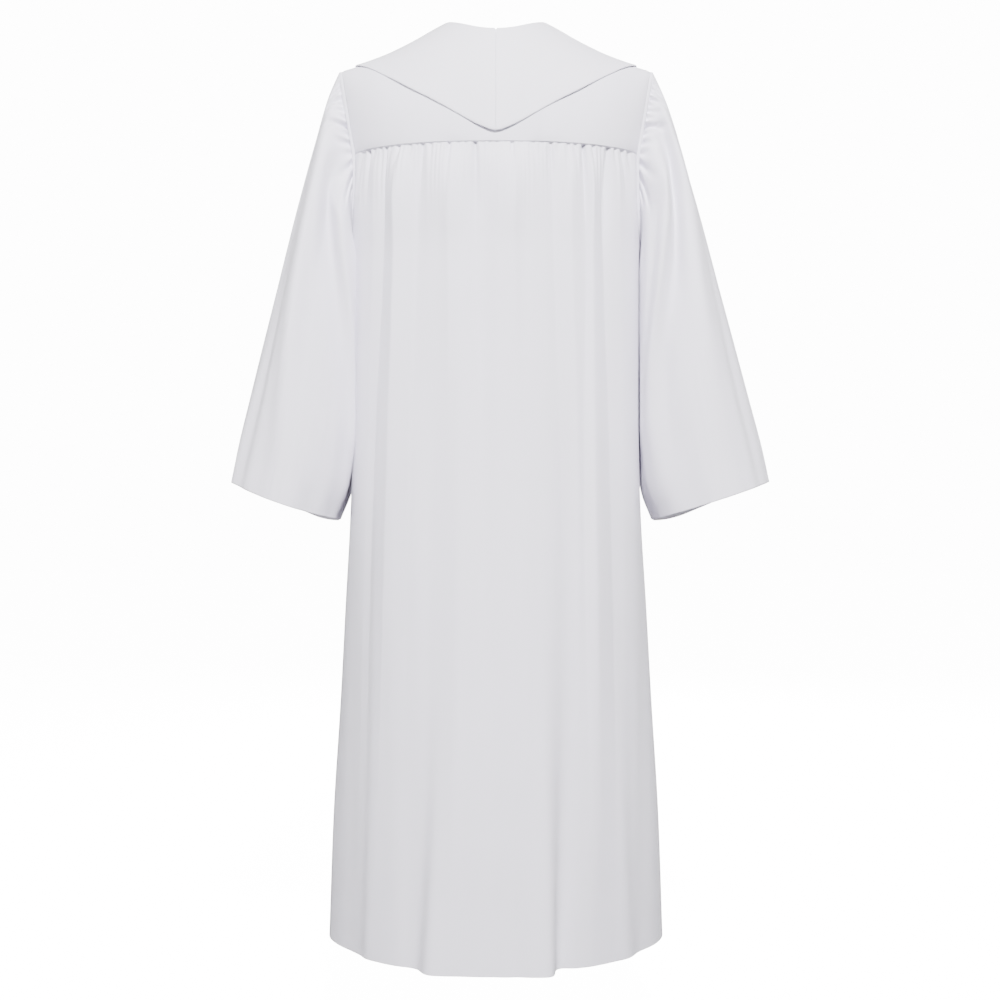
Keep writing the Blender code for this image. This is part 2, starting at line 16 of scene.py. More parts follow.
import bpy
import numpy as np
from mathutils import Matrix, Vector


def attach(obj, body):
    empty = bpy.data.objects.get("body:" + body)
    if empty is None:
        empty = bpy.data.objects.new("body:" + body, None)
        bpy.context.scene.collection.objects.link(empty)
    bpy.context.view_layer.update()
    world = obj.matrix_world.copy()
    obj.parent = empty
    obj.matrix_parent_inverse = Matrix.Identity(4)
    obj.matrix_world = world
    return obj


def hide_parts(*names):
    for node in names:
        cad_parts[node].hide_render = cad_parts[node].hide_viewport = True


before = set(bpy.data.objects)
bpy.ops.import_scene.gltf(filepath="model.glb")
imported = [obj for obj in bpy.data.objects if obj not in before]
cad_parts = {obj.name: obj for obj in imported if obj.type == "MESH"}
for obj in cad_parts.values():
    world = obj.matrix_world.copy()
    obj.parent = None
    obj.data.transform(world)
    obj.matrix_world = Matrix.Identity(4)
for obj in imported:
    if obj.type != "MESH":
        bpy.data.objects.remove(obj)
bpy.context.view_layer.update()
LOG = logging.getLogger("clergy_robe")

Grid = np.ndarray
MM = 0.001
WHITE = (1.0, 1.0, 1.0, 1.0)
ROUNDED_ENDS = (0.45, 0.9)  # of a wall's thickness, in the last two rows at each end


class Face(Enum):
    """The two faces of the robe, as the sign of their depth from the middle."""

    BACK = 1.0
    FRONT = -1.0


class Side(Enum):
    """The wearer's two sides, as the sign of X."""

    LEFT = -1.0
    RIGHT = 1.0

    @property
    def word(self) -> str:
        """The side's name in lower case, as the nodes have it."""
        return self.name.lower()


class Level(NamedTuple):
    """How far the body reaches at one drop, and its oval's power there."""

    drop: float
    side: float
    back: float
    front: float
    power: float


class Ridge(NamedTuple):
    """A point of the shoulder line, seen from the back."""

    x: float
    z: float


class SleeveCut(NamedTuple):
    """A sleeve's own cut: its cuff's flare and sag, and how far it closes round the body."""

    flare: float
    sag: float
    front_sag: float
    tuck: float


class Ring(NamedTuple):
    """One ring of the right sleeve: its outer and inner points from behind, and its half depth."""

    along: float
    outer_x: float
    outer_drop: float
    inner_x: float
    inner_drop: float
    half_depth: float


class Flute(NamedTuple):
    """A long fold of a panel: both its edges and how far it stands out, from the seam to the hem."""

    left_seam: float
    left_waist: float
    left_hem: float
    right_seam: float
    right_waist: float
    right_hem: float
    near_out: float
    blades_out: float
    waist_out: float
    hem_out: float
    left_soft: float
    right_soft: float


class Crease(NamedTuple):
    """A crest or valley of the broad facets: its place and how far it stands out, going down."""

    seam: float
    blades: float
    waist: float
    hem: float
    near_out: float
    blades_out: float
    waist_out: float


class Gather(NamedTuple):
    """A small fold that starts at a seam: where, how long, how deep, and how far its foot leans."""

    at: float
    length: float
    depth: float
    lean: float


class SleeveFold(NamedTuple):
    """A long fold of a sleeve: its turn round the ring, and how far it stands out, along the sleeve."""

    head_turn: float
    elbow_turn: float
    cuff_turn: float
    half_width: float
    head_out: float
    elbow_out: float
    cuff_out: float


class CollarEdge(NamedTuple):
    """A point of the collar's outer edge behind: its sweep round the neck, and its share and turn."""

    sweep: float
    share: float
    turn: float


class Light(NamedTuple):
    """A square area light."""

    name: str
    place: tuple[float, float, float]
    aim: tuple[float, float, float]
    size: float
    power: float


def table(kind: type, *rows: tuple, scale: float = 1.0) -> tuple:
    """Rows of one kind from plain numbers, each number times a scale."""
    return tuple(kind(*(number * scale for number in row)) for row in rows)


def smooth(stops: Grid, values: Grid, at: Grid) -> Grid:
    """A smooth curve through stops: cubic pieces that share the table's own slopes.

    Args:
        stops: Where the values stand, rising.
        values: The value at each stop.
        at: Where the curve is wanted.

    Returns:
        The curve's values, held level past both ends.
    """
    stops, values = np.asarray(stops, float), np.asarray(values, float)
    at = np.clip(at, stops[0], stops[-1])
    slopes = np.gradient(values, stops)
    piece = np.clip(np.searchsorted(stops, at) - 1, 0, len(stops) - 2)
    width = stops[piece + 1] - stops[piece]
    q = (at - stops[piece]) / width
    return (
        (2 * q**3 - 3 * q**2 + 1) * values[piece]
        + (q**3 - 2 * q**2 + q) * width * slopes[piece]
        + (3 * q**2 - 2 * q**3) * values[piece + 1]
        + (q**3 - q**2) * width * slopes[piece + 1]
    )


def curve(rows: tuple, name: str, at: Grid) -> Grid:
    """A named column of a table as a smooth curve over its first column."""
    return smooth([row[0] for row in rows], [getattr(row, name) for row in rows], at)


def eased(value: Grid) -> Grid:
    """0 below 0, 1 above 1 and a smooth step between."""
    value = np.clip(value, 0, 1)
    return value * value * (3 - 2 * value)


def steps(head: tuple, middle: tuple, tail: tuple) -> Grid:
    """Stops along one way of a grid: close ones at both ends, and (first, last, count) between."""
    return np.concatenate((head, np.linspace(*middle), tail))


def bell(away: Grid) -> Grid:
    """1 at 0, falling to nothing at about 2 on both sides."""
    return np.exp(-(away**2))


def unit(vectors: Grid) -> Grid:
    """The vectors at length one."""
    return vectors / np.maximum(np.linalg.norm(vectors, axis=-1, keepdims=True), 1e-12)


def folded(turn: Grid) -> Grid:
    """A turn as its distance from the outer line, from 0 to a half turn, behind and before alike."""
    return np.abs(np.arctan2(np.sin(turn), np.cos(turn)))


@dataclass(frozen=True)
class Waves:
    """Soft unevenness of the cloth: its waves' typical width, length and height."""

    width: float
    length: float
    height: float
    count: int = 6
    together: float = 3.2  # how high the waves stand when they are added
    pitches: tuple[float, float] = (0.7, 1.9)
    last_start: float = 6.28

    def over(self, across: Grid, down: Grid, seed: int) -> Grid:
        """The sum of sine waves of seeded pitch, slant and start.

        Args:
            across: Distance across the cloth.
            down: Distance down the cloth.
            seed: Which set of waves.

        Returns:
            How far each point stands out.
        """
        rng = np.random.default_rng(seed)
        total = np.zeros(np.broadcast(across, down).shape)
        for _ in range(self.count):
            pitch, slant = rng.uniform(*self.pitches) / self.width, rng.uniform(-1, 1) / self.length
            phase = 2 * math.pi * (pitch * across + slant * down)
            total = total + np.sin(phase + rng.uniform(0, self.last_start))
        return total / self.together * self.height


@dataclass(frozen=True)
class Gathering:
    """How the small folds at a seam look: each starts at the seam, widens, leans and fades."""

    width: float
    spread: float  # added to the width by the fold's foot
    start: float  # the run in which a fold reaches its depth
    fading: float

    def folds(self, rows: tuple[Gather, ...], across: Grid, run: Grid) -> Grid:
        """The sum of the folds, each a valley exp(-(distance / width)^2).

        Args:
            rows: The folds.
            across: Distance along the seam, as the rows have it.
            run: Distance from the seam, as the rows have it.

        Returns:
            How far each point stands out, 0 or less.
        """
        total = np.zeros(np.broadcast(across, run).shape)
        for row in rows:
            part = np.clip(run / row.length, 0, 1)
            away = (across - row.at - row.lean * part) / (self.width + self.spread * part)
            fade = eased(run / self.start) * (1 - part) ** self.fading
            total = total - row.depth * fade * bell(away)
        return total


@dataclass(frozen=True)
class Torso:
    """The filled-out body and shoulders that the cloth lies on."""

    rounding: float = 2.2
    yoke_drop: float = 0.197
    underarm_drop: float = 0.320
    hem_drop: float = 1.297
    ridge_half: float = 0.219
    seam_half: float = 0.197
    neck_share: float = 0.324
    neck_back_turn: float = math.radians(41)
    neck_front_turn: float = math.radians(78)
    neck_front_curve: float = 1.2
    seam_gap: float = 0.00006
    underarm_crowding: float = 6
    levels: tuple[Level, ...] = table(
        Level,
        (0.197, 0.207, 0.126, 0.118, 2.2), (0.32, 0.2015, 0.134, 0.13, 2.2),
        (0.45, 0.201, 0.142, 0.137, 2.18), (0.64, 0.203, 0.155, 0.147, 2.12),
        (0.71, 0.206, 0.16, 0.151, 2.08), (0.823, 0.213, 0.168, 0.158, 2.02),
        (0.966, 0.221, 0.177, 0.166, 1.94), (1.108, 0.23, 0.186, 0.174, 1.88),
        (1.297, 0.237, 0.196, 0.182, 1.8),
    )
    ridge: tuple[Ridge, ...] = table(  # its first row only levels the line at the middle
        Ridge,
        (-40, 9.5), (0, 19), (40, 9.5), (68.3, -6.2), (88.3, -17.1), (108, -28.6), (131, -40.6),
        (155.2, -51.8), (182, -61.4), (200.8, -66.8), (219, -71.5),
        scale=MM,
    )

    def level(self, name: str, drop: Grid) -> Grid:
        """One measure of the body at a drop, by its name in the table of levels."""
        return curve(self.levels, name, drop)

    def size(self, drop: Grid, face: Face) -> tuple[Grid, Grid]:
        """The body's half width and its depth on one face, at a drop."""
        return self.level("side", drop), self.level(face.name.lower(), drop)

    def oval(self, across: Grid, side: Grid, deep: Grid, power: Grid | None = None) -> Grid:
        """The depth of the oval |x / side|^n + |y / deep|^n = 1 at a distance from the middle."""
        power = self.rounding if power is None else power
        return deep * (1 - np.clip(np.abs(across) / side, 0, 1) ** power) ** (1 / power)

    def shoulder(self, share: Grid, turn: Grid) -> Grid:
        """A point of the yoke: a quarter ellipse from the shoulder line to the yoke seam.

        Args:
            share: From -1 to 1 between the armholes.
            turn: 0 on the shoulder line, a right angle at the seam behind, as much with a minus
                before. Past it the point runs straight down over the body.

        Returns:
            The points, with their coordinates last.
        """
        before = turn < 0
        share, bend = np.broadcast_arrays(share * 1.0, np.minimum(np.abs(turn), math.pi / 2))
        ridge_x = share * self.ridge_half
        rise = curve(self.ridge, "z", np.abs(ridge_x)) + self.yoke_drop
        below = np.maximum(np.abs(turn) - math.pi / 2, 0) * rise
        side, back = self.size(self.yoke_drop + below, Face.BACK)
        front = self.size(self.yoke_drop + below, Face.FRONT)[1]
        seam_x = share * self.seam_half * side / self.levels[0].side
        deep = self.oval(seam_x, side, np.where(before, front, back))
        return np.stack(
            (
                seam_x + (ridge_x - seam_x) * np.cos(bend),
                np.where(before, 1, -1) * deep * np.sin(bend),
                rise * np.cos(bend) - self.yoke_drop - below,
            ),
            axis=-1,
        )

    def above_shoulder(self, share: Grid, turn: Grid, out: Grid) -> Grid:
        """A point of the yoke moved out along its normal, which comes from close neighbours.

        Args:
            share: As in shoulder.
            turn: As in shoulder.
            out: How far out.

        Returns:
            The points.
        """
        step = 1e-4
        across = self.shoulder(share + step, turn) - self.shoulder(share - step, turn)
        down = self.shoulder(share, turn + step) - self.shoulder(share, turn - step)
        return self.shoulder(share, turn) + unit(np.cross(down, across)) * np.asarray(out)[..., None]

    def neck_turn(self, share: Grid, face: Face) -> Grid:
        """How far the neckline turns over the shoulder line: an arc behind, a V before.

        Args:
            share: A share of the shoulder line.
            face: Which face.

        Returns:
            The turn, 0 at the neck point.
        """
        inside = np.clip(np.abs(share) / self.neck_share, 0, 1)
        if face is Face.BACK:
            return self.neck_back_turn * np.sqrt(1 - inside**2)
        return self.neck_front_turn * (1 - inside**self.neck_front_curve)

    def armhole_depth(self, drop: Grid, face: Face) -> Grid:
        """How deep the armhole's edge lies: a quarter circle from the yoke seam to the underarm.

        Args:
            drop: Below the neck points.
            face: Which face.

        Returns:
            The depth from the middle.
        """
        deep = self.oval(self.seam_half, *self.size(self.yoke_drop, face))
        fall = np.clip((drop - self.yoke_drop) / (self.underarm_drop - self.yoke_drop), 0, 1)
        return np.maximum(deep * np.sqrt(1 - fall**2), self.seam_gap / 2)

    def body(self, share: Grid, drop: Grid, face: Face, gap: float = 0.0) -> tuple[Grid, Grid]:
        """A point of the smooth body and the direction it faces.

        Args:
            share: 0 at the middle to 1 (or -1) at the armhole or the side seam, as a part of the
                oval's angle.
            drop: Below the neck points.
            face: Which face.
            gap: Half the gap at the middle.

        Returns:
            The points and their directions.
        """
        side, deep = self.size(drop, face)
        last = np.arccos((self.armhole_depth(drop, face) / deep) ** (self.rounding / 2))
        first = np.arcsin((gap / side) ** (self.rounding / 2))
        top_side, top_deep = self.size(self.yoke_drop, face)
        seam_depth = self.oval(self.seam_half, top_side, top_deep)
        seam_last = np.arccos((seam_depth / top_deep) ** (self.rounding / 2))
        part = np.abs(share)
        angle = first + part * (seam_last - first) + part**self.underarm_crowding * (last - seam_last)
        sign = np.where(share < 0, -1.0, 1.0)
        x = sign * side * np.sin(angle) ** (2 / self.rounding)
        power = self.level("power", drop)
        y = np.maximum(self.oval(x, side, deep, power), self.seam_gap / 2)
        facing = np.stack(
            (
                sign * np.abs(x / side) ** (power - 1) / side,
                -face.value * (y / deep) ** (power - 1) / deep,
                np.zeros_like(x * y),
            ),
            axis=-1,
        )
        point = np.stack(np.broadcast_arrays(x, -face.value * y, -drop), axis=-1)
        return point, unit(facing)

    def armhole(self, turn: Grid) -> tuple[Grid, Grid]:
        """The right armhole's edge, along the yoke and then round under the arm.

        Args:
            turn: From the shoulder tip round the back.

        Returns:
            The edge's points and the directions that the body faces there.
        """
        over, before = folded(turn), np.sin(turn) < 0
        swing = np.where(before, -1, 1) * np.minimum(over, math.pi / 2)
        end = np.ones_like(over)
        upper = self.shoulder(end, swing)
        near, lift = swing * 0.999, 1e-3  # just short of the yoke seam, where a normal can be taken
        upper_facing = unit(self.above_shoulder(end, near, lift) - self.shoulder(end, near))
        fall = self.underarm_drop - self.yoke_drop
        drop = self.yoke_drop - np.minimum(np.cos(over), 0) * fall
        back, back_facing = self.body(end, drop, Face.BACK)
        front, front_facing = self.body(end, drop, Face.FRONT)
        low, ahead = (over > math.pi / 2)[:, None], before[:, None]
        edge = np.where(low, np.where(ahead, front, back), upper)
        return edge, np.where(low, np.where(ahead, front_facing, back_facing), upper_facing)


def operator(operation: str, swapped: bool = False) -> Callable[["Value", object], "Value"]:
    """An operator of Value, which adds one Math node.

    Args:
        operation: The node's operation.
        swapped: Whether the value comes second, for the reflected operators.

    Returns:
        The method.
    """

    def apply(value: "Value", other: object) -> "Value":
        """The operation on the two."""
        first, second = (other, value) if swapped else (value, other)
        return value.nodes.add("ShaderNodeMath", {"operation": operation}, {0: first, 1: second})

    return apply


class Value:
    """A socket with arithmetic: each operator adds the Math node of its name."""

    __add__, __radd__ = operator("ADD"), operator("ADD", True)
    __sub__, __rsub__ = operator("SUBTRACT"), operator("SUBTRACT", True)
    __mul__, __rmul__ = operator("MULTIPLY"), operator("MULTIPLY", True)

    def __init__(self, nodes: "Nodes", socket: bpy.types.NodeSocket) -> None:
        """Keeps the socket and the tree that it is in."""
        self.nodes, self.socket = nodes, socket

    def sine(self) -> "Value":
        """The sine, of radians."""
        return self.nodes.add("ShaderNodeMath", {"operation": "SINE"}, {0: self})


class Nodes:
    """A material's node tree, built from plain calls."""

    def __init__(self, tree: bpy.types.NodeTree) -> None:
        """Keeps the tree."""
        self.tree = tree

    def add(self, kind: str, settings: dict, inputs: dict, output: object = 0) -> Value:
        """Adds a node.

        Args:
            kind: The node's type.
            settings: Its own properties, set first.
            inputs: A value or a Value for each socket, by name or number.
            output: The output socket wanted, by name or number.

        Returns:
            That output.
        """
        node = self.tree.nodes.new(kind)
        for name, value in settings.items():
            setattr(node, name, value)
        for key, value in inputs.items():
            self.put(node.inputs[key], value)
        return Value(self, node.outputs[output])

    def put(self, socket: bpy.types.NodeSocket, value: object) -> None:
        """Links a Value to a socket, or sets the socket to a plain value."""
        if isinstance(value, Value):
            self.tree.links.new(value.socket, socket)
        else:
            socket.default_value = value


def new_material(name: str) -> tuple[bpy.types.Material, Nodes, dict]:
    """A new material, its nodes and the inputs of its shader."""
    made = bpy.data.materials.new(name)
    made.use_nodes = True
    return made, Nodes(made.node_tree), made.node_tree.nodes["Principled BSDF"].inputs


def new_object(name: str, data: bpy.types.ID) -> bpy.types.Object:
    """A new object with its data, in the scene."""
    made = bpy.data.objects.new(name, data)
    bpy.context.scene.collection.objects.link(made)
    return made


@dataclass(frozen=True)
class WovenCloth:
    """A matt plain weave: fine threads on the sheet's own UV map, which is in metres."""

    name: str
    colour: tuple[float, float, float]
    roughness: float = 0.82
    roughness_range: float = 0.10
    sheen: float = 0.22
    pitch: float = 0.0007  # of two threads
    thread_height: float = 0.00005
    slub_height: float = 0.00016
    mottling: float = 0.030
    cloud_scale: float = 9.0
    slub_scale: tuple[float, float, float] = (900.0, 90.0, 1.0)
    sheen_roughness: float = 0.5
    specular: float = 0.25

    def material(self) -> bpy.types.Material:
        """Builds the cloth's material.

        The weave's height is sin(2 pi u / pitch) sin(2 pi v / pitch), and slubs are noise that
        is drawn out along the threads.

        Returns:
            The material.
        """
        made, nodes, inputs = new_material(self.name)
        uv = nodes.add("ShaderNodeUVMap", {"uv_map": "UVMap"}, {})
        split = nodes.add("ShaderNodeSeparateXYZ", {}, {0: uv})
        u, v = split, Value(nodes, split.socket.node.outputs[1])
        turn = 2 * math.pi / self.pitch
        weave = (u * turn).sine() * (v * turn).sine()
        stretch = nodes.add("ShaderNodeMapping", {}, {"Vector": uv, "Scale": self.slub_scale})
        slubs = nodes.add("ShaderNodeTexNoise", {}, {"Vector": stretch, "Scale": 1.0, "Detail": 2.0})
        height = weave * self.thread_height + slubs * self.slub_height
        bump = nodes.add("ShaderNodeBump", {}, {"Strength": 1.0, "Distance": 1.0, "Height": height})
        place = nodes.add("ShaderNodeTexCoord", {}, {}, "Object")
        spots = {"Vector": place, "Scale": self.cloud_scale, "Detail": 4.0}
        cloud = nodes.add("ShaderNodeTexNoise", {}, spots)
        shade = cloud * (2 * self.mottling) + (1 - self.mottling)
        tone = nodes.add("ShaderNodeCombineXYZ", {}, {0: shade, 1: shade, 2: shade})
        colour = nodes.add("ShaderNodeVectorMath", {"operation": "MULTIPLY"}, {0: tone, 1: self.colour})
        rough = cloud * self.roughness_range + (self.roughness - self.roughness_range / 2)
        plain = {
            "Sheen Weight": self.sheen,
            "Sheen Roughness": self.sheen_roughness,
            "Specular IOR Level": self.specular,
        }
        for name, value in {"Base Color": colour, "Roughness": rough, "Normal": bump, **plain}.items():
            nodes.put(inputs[name], value)
        return made


@dataclass(frozen=True)
class Coated:
    """A plain smooth finish, for the zip's coil."""

    name: str
    colour: tuple[float, float, float]
    roughness: float
    roughness_range: float = 0.1
    noise_scale: float = 300.0

    def material(self) -> bpy.types.Material:
        """Builds the finish, with a trace of noise in its roughness.

        Returns:
            The material.
        """
        made, nodes, inputs = new_material(self.name)
        place = nodes.add("ShaderNodeTexCoord", {}, {}, "Object")
        noise = nodes.add("ShaderNodeTexNoise", {}, {"Vector": place, "Scale": self.noise_scale})
        rough = noise * self.roughness_range + (self.roughness - self.roughness_range / 2)
        nodes.put(inputs["Base Color"], (*self.colour, 1.0))
        nodes.put(inputs["Roughness"], rough)
        return made


@dataclass
class Cut:
    """The flat size that a sheet was cut to, and how it is held."""

    width: float
    length: float
    area: float
    held: str
    rests_on: tuple[str, ...] = ()


def arc_lengths(points: Grid, axis: int, ring: bool) -> Grid:
    """Running length along one axis of a grid, from its first row or column.

    Args:
        points: The grid.
        axis: 0 down the rows, 1 across the columns.
        ring: Whether the last column joins the first.

    Returns:
        The lengths, with one column more for a ring.
    """
    if ring:
        points = np.concatenate((points, points[:, :1]), axis=1)
    steps = np.linalg.norm(np.diff(points, axis=axis), axis=-1)
    total = np.cumsum(steps, axis=axis)
    first = np.zeros_like(np.take(total, [0], axis=axis))
    return np.concatenate((first, total), axis=axis)


def shell(name: str, outer: Grid, inner: Grid, ring: bool = False) -> bpy.types.Object:
    """A closed thin sheet between two grids of points, with its rims joined.

    Args:
        name: The piece's name.
        outer: The side that faces out, a row for each step down.
        inner: The other side, point for point.
        ring: Whether the last column joins the first.

    Returns:
        The new object, with a UV map in metres of cloth.
    """
    rows, columns = outer.shape[:2]
    count = rows * columns
    index = np.arange(count).reshape(rows, columns)
    if ring:
        index = np.concatenate((index, index[:, :1]), axis=1)
    wide = index.shape[1]
    corner = np.arange(rows * wide).reshape(rows, wide)
    around = (corner[:-1, :-1], corner[:-1, 1:], corner[1:, 1:], corner[1:, :-1])
    face = np.stack(around, -1).reshape(-1, 4)
    edges = [corner[0], corner[-1][::-1]]
    if not ring:
        edges += [corner[:, 0][::-1], corner[:, -1]]
    lines = np.concatenate([np.stack((edge[:-1], edge[1:]), -1) for edge in edges])
    last = rows * wide
    rims = np.stack((lines[:, 1], lines[:, 0], lines[:, 0] + last, lines[:, 1] + last), -1)
    corners = np.concatenate((face, face[:, ::-1] + last, rims))
    vertex = np.concatenate((index.ravel(), index.ravel() + count))
    points = np.concatenate((outer.reshape(-1, 3), inner.reshape(-1, 3)))
    faces = vertex[corners]
    a, b, c, d = (points[faces[:, i]] for i in range(4))
    volume = np.einsum("ij,ij->", a, np.cross(b, c)) + np.einsum("ij,ij->", a, np.cross(c, d))
    if volume < 0:
        faces, corners = faces[:, ::-1], corners[:, ::-1]
    mesh = bpy.data.meshes.new(name)
    mesh.from_pydata(points.tolist(), [], faces.tolist())
    uv = np.stack((arc_lengths(outer, 1, ring)[:, :wide], arc_lengths(outer, 0, ring)), -1)
    uv = np.concatenate((uv.reshape(-1, 2), uv.reshape(-1, 2)))
    mesh.uv_layers.new(name="UVMap").uv.foreach_set("vector", uv[corners.ravel()].ravel())
    mesh.shade_smooth()
    return new_object(name, mesh)


def inner_side(points: Grid, wall: Grid, centre: Grid, ring: bool = False) -> Grid:
    """The other side of a sheet: each point moved in along the grid's own normal.

    Args:
        points: The outer side.
        wall: The sheet's thickness, for the whole grid or each point.
        centre: A point, or one for each row, that the sheet faces away from.
        ring: Whether the last column joins the first.

    Returns:
        The inner side.
    """
    if ring:
        across = np.roll(points, -1, axis=1) - np.roll(points, 1, axis=1)
    else:
        across = np.gradient(points, axis=1)
    normal = unit(np.cross(np.gradient(points, axis=0), across))
    if np.sum(normal * (points - centre)) < 0:
        normal = -normal
    return points - normal * np.broadcast_to(np.asarray(wall), points.shape[:2])[..., None]


def hem_wall(count: int, wall: float, extra: float, rows: int) -> Grid:
    """A wall's thickness down its rows: thicker over the turned hem, thin at the rounded ends.

    Args:
        count: How many rows there are.
        wall: The thickness.
        extra: What the turned hem adds.
        rows: How many rows the turned hem takes.

    Returns:
        The thickness of each row.
    """
    thick = np.full(count, wall)
    thick[count - rows :] += extra
    for row, share in enumerate(ROUNDED_ENDS):
        thick[[row, -1 - row]] *= share
    return thick[:, None]


def flip_side(made: bpy.types.Object) -> None:
    """Mirrors a finished mesh to the other side of the robe, with its faces turned to match.

    Args:
        made: The piece.
    """
    mesh = made.data
    place = np.empty(len(mesh.vertices) * 3)
    mesh.vertices.foreach_get("co", place)
    place[0::3] *= -1
    mesh.vertices.foreach_set("co", place)
    mesh.flip_normals()
    mesh.update()


@dataclass
class Piece:
    """What every dressed piece of the robe has: its place in the frame and its finish."""

    torso: Torso
    finish: bpy.types.Material
    slot: str = "robe_cloth"

    def dress(
        self,
        made: bpy.types.Object,
        node: str,
        cut: Cut,
        side: Side = Side.RIGHT,
        with_pieces: tuple = (),
    ) -> bpy.types.Object:
        """Gives a sheet its side and finish, attaches it to the root and hides the CAD part that it
        stands for.

        Args:
            made: The sheet.
            node: The CAD node that it stands for.
            cut: Its flat size. Not used.
            side: The side that it is for. It comes as the right one, and is flipped for the left.
            with_pieces: Other pieces that are sewn to it. Not used.

        Returns:
            The sheet.
        """
        if side is Side.LEFT:
            flip_side(made)
        made.data.materials.append(self.finish)
        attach(made, "root")
        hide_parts(node)
        return made


@dataclass
class Yoke(Piece):
    """The flat yokes: one behind, and two before that meet at the centre front."""

    wall: float = 0.0013
    raised: float = 0.0007  # above the panels' outer side
    # the rows' parts of the way down: close, (first, last, count) and close
    rows: tuple = ((0, 0.01, 0.03), (0.06, 0.96, 30), (0.985, 0.994, 1.0))
    neck_columns: int = 30
    shoulder_columns: int = 40
    last_column: float = 0.997
    front_gap: float = 0.0010
    rolled: float = 0.03  # share of the rows over which the edges roll in
    side_rolled: float = 0.02
    ripple: Waves = Waves(0.10, 0.12, 0.0006)
    metres: tuple[float, float] = (0.2, 0.13)  # in a share and in a radian, about

    def sheet(self, name: str, share: Grid, face: Face, seed: int) -> bpy.types.Object:
        """One yoke: the shoulder's surface raised a little, its lower edge rolled in.

        Args:
            name: The piece's name.
            share: Its columns, as shares of the shoulder line.
            face: Which face of the robe.
            seed: For its soft unevenness.

        Returns:
            The sheet.
        """
        deep = self.torso.oval(
            share * self.torso.seam_half, *self.torso.size(self.torso.yoke_drop, face)
        )
        start = self.torso.neck_turn(share, face) + self.torso.seam_gap / 2 / deep
        row = steps(*self.rows)[:, None]
        turn = start + (math.pi / 2 - start) * row
        sign = face.value
        edge = eased((1 - row) / self.rolled)
        inset = eased((1 - np.abs(share)) / self.side_rolled) * eased(row / self.rolled)
        across, down = self.metres
        uneven = self.ripple.over(share * across, turn * down, seed) * eased(row * 4)
        out = (self.raised * edge + uneven * edge) * inset
        outer = self.torso.above_shoulder(share, sign * turn, out)
        inner = self.torso.above_shoulder(share, sign * turn, out - self.wall * (0.5 + 0.5 * edge))
        if face is Face.FRONT:
            outer[..., 0] = np.maximum(outer[..., 0], self.front_gap / 2)
            inner[..., 0] = np.maximum(inner[..., 0], self.front_gap / 2)
        return shell(name, outer, inner)

    def build(self) -> list[bpy.types.Object]:
        """Builds the three yokes.

        Returns:
            The sheets.
        """
        reach = self.torso.neck_share
        neck = reach * np.sin(np.linspace(0, math.pi / 2, self.neck_columns))
        rest = np.linspace(reach, 1, self.shoulder_columns)[1:-1]
        half = np.concatenate((neck, rest, (self.last_column, 1.0)))
        share = np.concatenate((-half[:0:-1], half))[None, :]
        back = self.sheet("yoke_back_cloth", share, Face.BACK, 11)
        made = [self.dress(back, "yoke_back", Cut(0.46, 0.25, 0.093, "stretched"))]
        for side in Side:
            name = f"yoke_front_{side.word}"
            front = self.sheet(f"{name}_cloth", half[None, :], Face.FRONT, 12)
            made.append(self.dress(front, name, Cut(0.23, 0.25, 0.043, "stretched"), side))
        return made


